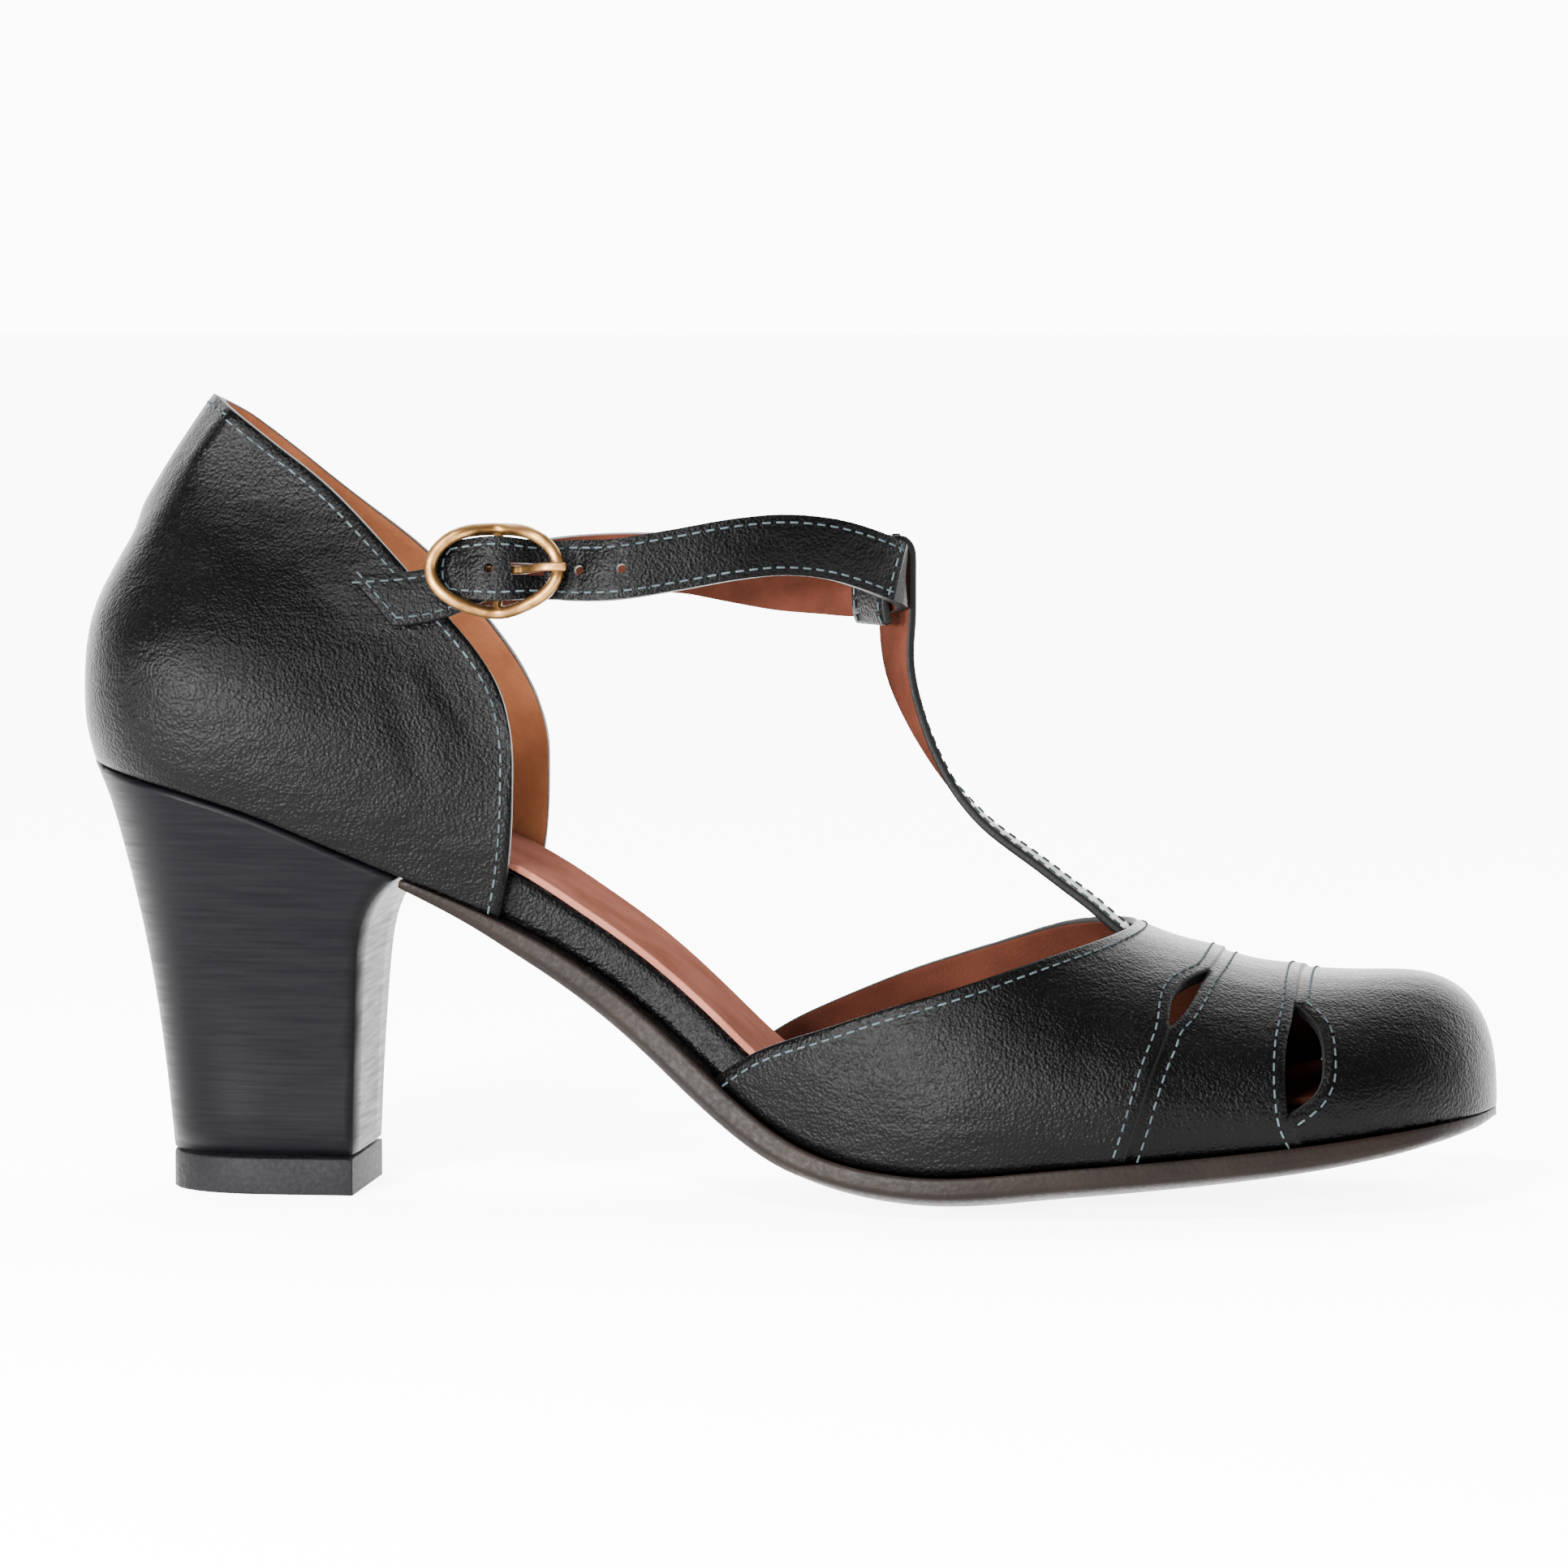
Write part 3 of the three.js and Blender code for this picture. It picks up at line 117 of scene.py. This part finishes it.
def leather(
    name, dark, light, roughness, grain_mm, grain_depth, crease_depth=0.0, painted_toe_shade=None, **shader
):
    """Smooth leather: mottled colour, painted shade towards the toe when given, cells of grain and long
    soft creases.
    """
    made, tree, principled = material(name, **shader)
    place = add_node(tree, "ShaderNodeTexCoord").outputs["Object"]
    cloud = add_node(tree, "ShaderNodeTexNoise", {"Vector": place}, Scale=1 / (9 * MM), Detail=5.0)
    fine = add_node(
        tree, "ShaderNodeTexNoise", {"Vector": place}, Scale=1 / (grain_mm * MM), Detail=4.0
    )
    cells = add_node(
        tree, "ShaderNodeTexVoronoi", {"Vector": place}, Scale=1 / (grain_mm * MM), Randomness=1.0
    )
    colour = ramp_between(
        tree, cloud.outputs["Fac"], [(0.3, linear(dark)), (0.72, linear(light))]
    )
    # Painted shade: the colour fades along the shoe into a dark toe colour, standing in for the shadow
    # inside the toe.
    if painted_toe_shade:
        along = add_node(tree, "ShaderNodeSeparateXYZ", {"Vector": place}).outputs["X"]
        share = add_node(
            tree, "ShaderNodeMapRange", {"Value": along}, From_Min=TOE_SHADE_FROM, From_Max=TOE_SHADE_TO
        )
        colour = add_node(
            tree,
            "ShaderNodeMixRGB",
            {"Fac": share.outputs["Result"], "Color1": colour},
            Color2=linear(painted_toe_shade),
        ).outputs["Color"]
    tree.links.new(colour, principled.inputs["Base Color"])
    low, high = roughness
    gloss = ramp_between(tree, fine.outputs["Fac"], [(0.3, low), (0.7, high)])
    tree.links.new(gloss, principled.inputs["Roughness"])
    bump = add_node(
        tree,
        "ShaderNodeBump",
        {"Height": cells.outputs["Distance"]},
        Distance=grain_depth * MM,
        Strength=0.6,
    )
    soft = add_node(
        tree,
        "ShaderNodeBump",
        {"Height": fine.outputs["Fac"], "Normal": bump.outputs["Normal"]},
        Distance=grain_depth * 1.6 * MM,
        Strength=0.7,
    )
    last = soft
    if crease_depth:
        stretched = add_node(tree, "ShaderNodeMapping", {"Vector": place}, Scale=(0.55, 1.0, 1.7))
        folds = add_node(
            tree,
            "ShaderNodeTexNoise",
            {"Vector": stretched.outputs["Vector"]},
            Scale=1 / (7 * MM),
            Detail=3.0,
        )
        last = add_node(
            tree,
            "ShaderNodeBump",
            {"Height": folds.outputs["Fac"], "Normal": soft.outputs["Normal"]},
            Distance=crease_depth * MM,
            Strength=0.5,
        )
    tree.links.new(last.outputs["Normal"], principled.inputs["Normal"])
    return made


# Box calf, aniline dyed and lightly polished: near black, with a grey bloom in the light.
black_calf = leather(
    "black_box_calf",
    "#010101",
    "#020202",
    (0.27, 0.4),
    0.55,
    0.15,
    crease_depth=0.8,
    Specular_IOR_Level=0.03,
)
# Cut edge of the same hide, painted.
edge_paint = leather(
    "black_edge_paint", "#030303", "#060606", (0.45, 0.6), 0.4, 0.03, Specular_IOR_Level=0.05
)
# Vegetable tanned lining, unsealed: warm brown and dry.
tan_lining = leather(
    "tan_kid_lining",
    "#5a3422",
    "#6c432c",
    (0.7, 0.8),
    0.5,
    0.08,
    crease_depth=0.5,
    Specular_IOR_Level=0.0,
)
# The lining of vamp and straps is a darker, redder hide, with painted shade making it nearly black in the
# toe.
red_lining = leather(
    "red_brown_kid_lining",
    "#22100b",
    "#2e1710",
    (0.65, 0.75),
    0.5,
    0.08,
    crease_depth=0.5,
    painted_toe_shade="#140805",
    Specular_IOR_Level=0.0,
)
# Sock leather, pigmented salmon, printed nowhere, with painted shade darkening it towards the toe.
sock = leather(
    "salmon_sock_leather",
    "#513027",
    "#5e3b31",
    (0.65, 0.75),
    0.45,
    0.06,
    painted_toe_shade="#1a0c07",
    Specular_IOR_Level=0.0,
)
# Sole leather, edge stained and burnished with wax.
burnished_edge = leather(
    "burnished_sole_leather",
    "#070504",
    "#0d0806",
    (0.4, 0.55),
    0.9,
    0.06,
    Specular_IOR_Level=0.04,
)
# Stacked heel under black lacquer: level streaks of the layers show through the gloss.
heel_lacquer, tree, principled = material("lacquered_stacked_heel", Specular_IOR_Level=0.025)
place = add_node(tree, "ShaderNodeTexCoord").outputs["Object"]
level = add_node(tree, "ShaderNodeMapping", {"Vector": place}, Scale=(0.05, 0.05, 1.0))
streaks = add_node(
    tree, "ShaderNodeTexNoise", {"Vector": level.outputs["Vector"]}, Scale=1 / (0.7 * MM), Detail=3.0
)
tree.links.new(
    ramp_between(
        tree, streaks.outputs["Fac"], [(0.35, linear("#020203")), (0.68, linear("#040405"))]
    ),
    principled.inputs["Base Color"],
)
tree.links.new(
    ramp_between(tree, streaks.outputs["Fac"], [(0.3, 0.36), (0.7, 0.5)]),
    principled.inputs["Roughness"],
)
bump = add_node(
    tree, "ShaderNodeBump", {"Height": streaks.outputs["Fac"]}, Distance=0.06 * MM, Strength=0.5
)
tree.links.new(bump.outputs["Normal"], principled.inputs["Normal"])
# Moulded hard rubber, matt and slightly worn.
lift_rubber = leather(
    "moulded_hard_rubber", "#030304", "#060607", (0.6, 0.75), 0.8, 0.08, Specular_IOR_Level=0.06
)
# Waxed polyester thread, grey with a green cast.
thread = leather(
    "waxed_grey_thread", "#1b2123", "#2e3638", (0.6, 0.75), 0.2, 0.05, Specular_IOR_Level=0.03
)
# Antique brass: dull gold with darker hollows.
antique_brass, tree, principled = material("antique_brass", Metallic=1.0)
place = add_node(tree, "ShaderNodeTexCoord").outputs["Object"]
stain = add_node(tree, "ShaderNodeTexNoise", {"Vector": place}, Scale=1 / (2.5 * MM), Detail=6.0)
tree.links.new(
    ramp_between(
        tree, stain.outputs["Fac"], [(0.3, linear("#4a341b")), (0.7, linear("#7d5d37"))]
    ),
    principled.inputs["Base Color"],
)
tree.links.new(
    ramp_between(tree, stain.outputs["Fac"], [(0.3, 0.5), (0.7, 0.34)]),
    principled.inputs["Roughness"],
)


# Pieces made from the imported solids.
def choose_only(piece):
    bpy.ops.object.select_all(action="DESELECT")
    piece.select_set(True)
    bpy.context.view_layer.objects.active = piece


def copy_of(node, name):
    """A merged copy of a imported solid, to be shaped further."""
    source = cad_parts[node]
    piece = bpy.data.objects.new(name, source.data.copy())
    bpy.context.scene.collection.objects.link(piece)
    piece.data.materials.clear()
    choose_only(piece)
    bpy.ops.object.mode_set(mode="EDIT")
    bpy.ops.mesh.select_all(action="SELECT")
    bpy.ops.mesh.remove_doubles(threshold=WELD)
    bpy.ops.object.mode_set(mode="OBJECT")
    return piece


def smooth_regions(mesh, angle):
    """Faces grouped where they join more smoothly than `angle`, largest group first."""
    seen, groups = set(), []
    for start in mesh.faces:
        if start in seen:
            continue
        seen.add(start)
        group, queue = [], [start]
        while queue:
            face = queue.pop()
            group.append(face)
            for edge in face.edges:
                for other in edge.link_faces:
                    if other not in seen and face.normal.angle(other.normal, 0) < angle:
                        seen.add(other)
                        queue.append(other)
        groups.append(group)
    return sorted(groups, key=lambda g: -sum(f.calc_area() for f in g))


def sides_of(piece, outwards, angle=SMOOTH_ANGLE):
    """Splits a shell into the faces of its outside, its inside and its rims, as index sets."""
    mesh = bmesh.new()
    mesh.from_mesh(piece.data)
    mesh.faces.ensure_lookup_table()
    outer, inner, rim = [], [], []
    largest = None
    for group in smooth_regions(mesh, angle):
        area = sum(f.calc_area() for f in group)
        facing = sum(
            f.calc_area() * f.normal.dot(outwards(f.calc_center_median()).normalized())
            for f in group
        )
        largest = largest or area
        narrow = area < NARROW_SHARE * largest
        faces_out, faces_in = facing > 0.35 * area, facing < -0.35 * area
        kind = rim if narrow else outer if faces_out else inner if faces_in else rim
        kind.append([f.index for f in group])
    return mesh, outer, inner, rim


def dress(piece, mats, groups):
    """Gives each group of faces its own material."""
    for mat in mats:
        piece.data.materials.append(mat)
    for slot, faces in enumerate(groups):
        for index in faces:
            piece.data.polygons[index].material_index = slot


def soften(piece, levels=2, crease_angle=42, crease=0.75):
    """Quads, creased where the solid has edges, under a subdivision surface."""
    choose_only(piece)
    bpy.ops.object.mode_set(mode="EDIT")
    bpy.ops.mesh.select_all(action="SELECT")
    bpy.ops.mesh.tris_convert_to_quads(
        face_threshold=math.radians(35), shape_threshold=math.radians(60), materials=True
    )
    bpy.ops.mesh.select_all(action="DESELECT")
    bpy.ops.mesh.select_mode(type="EDGE")
    bpy.ops.mesh.edges_select_sharp(sharpness=math.radians(crease_angle))
    bpy.ops.transform.edge_crease(value=crease)
    bpy.ops.object.mode_set(mode="OBJECT")
    surface = piece.modifiers.new("surface", "SUBSURF")
    surface.levels = surface.render_levels = levels
    bpy.ops.object.modifier_apply(modifier=surface.name)
    bpy.ops.object.shade_smooth()


def round_edges(piece, width, angle=35, segments=3):
    """A small rounded bevel on every edge of a solid."""
    choose_only(piece)
    bevel = piece.modifiers.new("edges", "BEVEL")
    bevel.width = width
    bevel.segments = segments
    bevel.limit_method = "ANGLE"
    bevel.angle_limit = math.radians(angle)
    bpy.ops.object.modifier_apply(modifier=bevel.name)
    bpy.ops.object.shade_smooth_by_angle(angle=math.radians(40))


def stand_for(piece, node):
    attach(piece, "root")
    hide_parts(node)


# Stitches.
def chains_of(mesh, group, inside, skip):
    """Lines of points round a group of faces, where it borders on faces that aren't `inside`."""
    edges = {}
    for index in group:
        face = mesh.faces[index]
        for edge in face.edges:
            others = [f for f in edge.link_faces if f.index not in inside]
            if others and not skip(face, others[0]):
                edges[edge] = face
    ends = {}
    for edge in edges:
        for vert in edge.verts:
            ends.setdefault(vert, []).append(edge)
    chains, used = [], set()
    starts = [v for v, joined in ends.items() if len(joined) == 1] + list(ends)
    for start in starts:
        vert, chain = start, []
        while True:
            ahead = [e for e in ends[vert] if e not in used]
            if not ahead:
                break
            edge = ahead[0]
            used.add(edge)
            face = edges[edge]
            chain.append((vert.co.copy(), face))
            vert = edge.other_vert(vert)
        if chain:
            chain.append((vert.co.copy(), chain[-1][1]))
            chains.append(chain)
    return chains


def split_corners(points, angle=math.radians(38)):
    """Breaks a line where it turns sharply."""
    parts, part = [], [points[0]]
    for before, here, after in zip(points, points[1:], points[2:]):
        part.append(here)
        if (here[0] - before[0]).angle(after[0] - here[0], 0) > angle:
            parts.append(part)
            part = [here]
    part.append(points[-1])
    return [*parts, part]


def smoothed(points, rounds=2):
    """Cuts the corners of a polyline, keeping its ends."""
    for _ in range(rounds):
        cut = [points[0]]
        for a, b in zip(points, points[1:]):
            cut += [a.lerp(b, 0.25), a.lerp(b, 0.75)]
        points = [*cut, points[-1]]
    return points


def walk(points, pitch):
    """Points and directions at an even pitch along a polyline."""
    lengths = [(b - a).length for a, b in zip(points, points[1:])]
    total = sum(lengths)
    count = max(1, round(total / pitch))
    step, travelled, target, places = total / count, 0.0, total / count / 2, []
    for (a, b), length in zip(zip(points, points[1:]), lengths):
        while length and target <= travelled + length:
            places.append((a.lerp(b, (target - travelled) / length), (b - a).normalized()))
            target += step
        travelled += length
    return places


stitch_places = []


def stitch_on(piece, lines):
    """Stitches at an even pitch along lines, laid on the finished surface of a piece."""
    mesh = piece.data
    surface = BVHTree.FromPolygons([v.co for v in mesh.vertices], [p.vertices for p in mesh.polygons])
    for line in lines:
        for place, along in walk(line, STITCH_PITCH):
            near, normal, _, _ = surface.find_nearest(place)
            stitch_places.append((near + normal * STITCH_SINK, along, normal))


def lines_inside(mesh, groups, margin, skip, shortest=9 * MM):
    """Lines that run a margin inside the rim of groups of faces."""
    inside = {n for group in groups for n in group}
    lines = []
    for group in groups:
        for chain in chains_of(mesh, group, inside, skip):
            for part in split_corners(chain):
                length = sum((b[0] - a[0]).length for a, b in zip(part, part[1:]))
                if length < shortest:
                    continue
                inset = []
                for i, (place, face) in enumerate(part):
                    before, after = part[max(0, i - 1)][0], part[min(len(part) - 1, i + 1)][0]
                    along = (after - before).normalized()
                    inward = face.normal.cross(along)
                    if inward.dot(face.calc_center_median() - place) < 0:
                        inward.negate()
                    inset.append(place + inward * margin)
                lines.append(smoothed(inset))
    return lines


def make_stitches(name):
    """All stitches as one mesh: short threads whose ends dip into the leather."""
    bpy.ops.object.select_all(action="DESELECT")
    bpy.ops.mesh.primitive_cylinder_add(vertices=THREAD_SIDES, radius=THREAD_WIDTH / 2, depth=STITCH_LENGTH)
    model = bpy.context.object
    model.rotation_euler = (0, math.pi / 2, 0)
    bpy.ops.object.transform_apply(location=True, rotation=True, scale=True)
    bpy.ops.object.mode_set(mode="EDIT")
    bpy.ops.mesh.select_all(action="SELECT")
    bpy.ops.mesh.bevel(offset=THREAD_WIDTH * 0.3, segments=2, affect="EDGES")
    bpy.ops.object.mode_set(mode="OBJECT")
    verts = np.array([v.co for v in model.data.vertices])
    faces = [list(p.vertices) for p in model.data.polygons]
    bpy.data.objects.remove(model)
    all_verts, all_faces = [], []
    for place, along, normal in stitch_places:
        across = normal.cross(along).normalized()
        up = along.cross(across).normalized()
        turn = np.array([along, across, up])
        offset = len(all_verts) * len(verts)
        all_verts.append(verts @ turn + np.array(place))
        all_faces += [[n + offset for n in face] for face in faces]
    data = bpy.data.meshes.new(name)
    data.from_pydata(np.concatenate(all_verts).tolist(), [], all_faces)
    piece = bpy.data.objects.new(name, data)
    bpy.context.scene.collection.objects.link(piece)
    data.materials.append(thread)
    choose_only(piece)
    bpy.ops.object.shade_smooth_by_angle(angle=math.radians(50))
    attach(piece, "root")
    return piece


# Creases pressed into the shells: ends of each trough seen from the outer side, as places along the shoe
# and above the floor in millimetres, its half width and its depth (a ridge where negative).
CREASES = {
    "quarter": [
        ((-56, 88), (-50, 79), 1.6, 0.3),
        ((-53, 90), (-46, 78), 1.3, -0.2),
        ((-62, 84), (-58, 72), 2.2, 0.25),
        ((-82, 107), (-72, 98), 1.8, 0.2),
        ((-76, 99), (-62, 92), 2.4, 0.2),
        ((-92, 112), (-84, 103), 1.6, 0.2),
        ((-60, 60), (-46, 52), 3.2, 0.25),
        ((-104, 84), (-96, 76), 3, 0.2),
    ],
    "vamp": [
        ((4, 30), (16, 40), 2.2, 0.25),
        ((14, 24), (24, 38), 2.6, 0.25),
        ((28, 22), (36, 40), 3, 0.2),
        ((-10, 20), (2, 30), 2.4, 0.2),
        ((52, 26), (58, 40), 2.4, 0.18),
    ],
}


def press_creases(piece, creases):
    """Presses soft troughs into both faces of a shell, so that its wall keeps its thickness."""
    for start, end, half_width, depth in creases:
        a, b = (Vector((x * MM, z * MM)) for x, z in (start, end))
        along = b - a
        for vert in piece.data.vertices:
            seen = Vector((vert.co.x, vert.co.z))
            share = max(0.0, min(1.0, (seen - a).dot(along) / along.length_squared))
            off = (seen - a - along * share).length / (half_width * MM)
            if off < 2:
                push = depth * MM * math.cos(math.pi / 4 * off) ** 2
                vert.co.y -= math.copysign(push, vert.co.y)


# Which way is out, for each shell.
def out_of_vamp(p):
    return Vector((0.1 * max(0, p.x - TOE_BOX_X), p.y, p.z - SOLE_Z))


def out_of_quarter(p):
    return Vector((p.x - QUARTER_X, p.y, 0))


def out_of_strap(p):
    return Vector((p.x - STRAP_X, p.y * 2, 0))


def downwards(face, other):
    return min(face.normal.z, other.normal.z) < -0.6


def nothing(face, other):
    return False


def make_shell(node, outwards, margin, skip, smooth=True):
    """A leather shell: black outside, lined inside, painted rims, stitched round its edges."""
    piece = copy_of(node, node + "_leather")
    mesh, outer, inner, rim = sides_of(piece, outwards)
    lines = lines_inside(mesh, outer, margin, skip)
    join = lambda groups: [n for group in groups for n in group]
    inside = tan_lining if node == "quarter" else red_lining
    dress(piece, [black_calf, inside, edge_paint], [join(outer), join(inner), join(rim)])
    mesh.free()
    if smooth:
        soften(piece)
    else:
        round_edges(piece, SMALL_EDGE)
    press_creases(piece, CREASES.get(node, []))
    stitch_on(piece, lines)
    stand_for(piece, node)
    return piece


make_shell("vamp", out_of_vamp, SEAM_MARGIN, downwards)
make_shell("quarter", out_of_quarter, SEAM_MARGIN, downwards)
make_shell("ankle_strap", out_of_strap, STRAP_MARGIN, nothing, smooth=False)
make_shell(
    "t_strap",
    lambda p: Vector((1, 0.3, 0.6)),
    STRAP_MARGIN,
    lambda face, other: abs(other.normal.y) < 0.3,
)
make_shell("buckle_tab", lambda p: Vector((0, -1, 0)), STRAP_MARGIN, nothing, smooth=False)


def make_block(node, mat, levels=2, crease=0.8):
    piece = copy_of(node, node + "_finish")
    piece.data.materials.append(mat)
    soften(piece, levels, 40, crease)
    stand_for(piece, node)
    return piece


make_block("outsole", burnished_edge)
make_block("heel_block", heel_lacquer, 2, 0.9)
make_block("footbed", black_calf, 2, 0.5)
make_block("insole", sock, 2, 0.7)

lift = copy_of("top_lift", "top_lift_rubber")
lift.data.materials.append(lift_rubber)
round_edges(lift, LIFT_EDGE)
stand_for(lift, "top_lift")

for node in ("buckle_frame", "buckle_prong"):
    metal = copy_of(node, node + "_brass")
    metal.data.materials.append(antique_brass)
    if node == "buckle_prong":
        round_edges(metal, SMALL_EDGE)
    else:
        choose_only(metal)
        bpy.ops.object.shade_smooth_by_angle(angle=math.radians(60))
    stand_for(metal, node)

make_stitches("stitching")

# Studio: a light table, a brightly lit backdrop behind the shoe and a dim room before it.
TABLE_SIZE = 40
TABLE_GLOW = 6.5
BACKDROP = 11.5
ROOM = 0.25
HEEL = (-0.08, 0, 0.07)
VAMP = (0.05, 0, 0.02)
MIDDLE = (0, 0, 0.05)
light_table, tree, principled = material(
    "light_table",
    Base_Color=linear("#f8f8f8"),
    Roughness=0.9,
    Specular_IOR_Level=0.1,
    Emission_Color=(1, 1, 1, 1),
    Emission_Strength=TABLE_GLOW,
)
bpy.ops.object.select_all(action="DESELECT")
bpy.ops.mesh.primitive_plane_add(size=TABLE_SIZE, location=(0, 0, 0))
floor = bpy.context.object
floor.name = "table"
floor.data.materials.append(light_table)

world = bpy.data.worlds.new("studio")
world.use_nodes = True
tree = world.node_tree
direction = add_node(tree, "ShaderNodeTexCoord").outputs["Generated"]
parts = add_node(tree, "ShaderNodeSeparateXYZ", {"Vector": direction})
glow = add_node(
    tree,
    "ShaderNodeMapRange",
    {"Value": parts.outputs["Y"]},
    interpolation_type="SMOOTHSTEP",
    From_Min=-0.1,
    From_Max=0.75,
    To_Min=ROOM,
    To_Max=BACKDROP,
)
background = tree.nodes["Background"]
background.inputs["Color"].default_value = (1, 1, 1, 1)
tree.links.new(glow.outputs["Result"], background.inputs["Strength"])
bpy.context.scene.world = world


def add_light(name, place, aim, size, power):
    data = bpy.data.lights.new(name, "AREA")
    data.shape = "RECTANGLE"
    data.size, data.size_y = size
    data.energy = power
    light = bpy.data.objects.new(name, data)
    bpy.context.scene.collection.objects.link(light)
    light.location = place
    light.rotation_euler = (Vector(aim) - Vector(place)).to_track_quat("-Z", "Y").to_euler()
    return light


add_light("front_softbox", (-0.2, -0.9, 0.8), MIDDLE, (0.26, 0.2), 44)
add_light("left_softbox", (-0.72, -1.0, 0.14), HEEL, (0.12, 0.12), 95)
add_light("low_softbox", (-0.28, -1.1, 0.2), VAMP, (0.12, 0.08), 48)

# Camera at the photograph's angle: a little towards the toe and above the shoe.
CAMERA_TURN = math.radians(6.6)
CAMERA_RISE = math.radians(4.0)
CAMERA_DISTANCE = 1.2
CAMERA_LENS = 164.57
CAMERA_AIM = Vector((-0.24 * MM, -1.12 * MM, 68.6 * MM))
back = Vector(
    (
        math.sin(CAMERA_TURN) * math.cos(CAMERA_RISE),
        -math.cos(CAMERA_TURN) * math.cos(CAMERA_RISE),
        math.sin(CAMERA_RISE),
    )
)
camera_data = bpy.data.cameras.new("camera")
camera_data.lens = CAMERA_LENS
camera_data.sensor_width = 36
camera_data.clip_start = 0.05
camera = bpy.data.objects.new("camera", camera_data)
bpy.context.scene.collection.objects.link(camera)
camera.location = CAMERA_AIM + back * CAMERA_DISTANCE
camera.rotation_euler = (-back).to_track_quat("-Z", "Y").to_euler()
bpy.context.scene.camera = camera
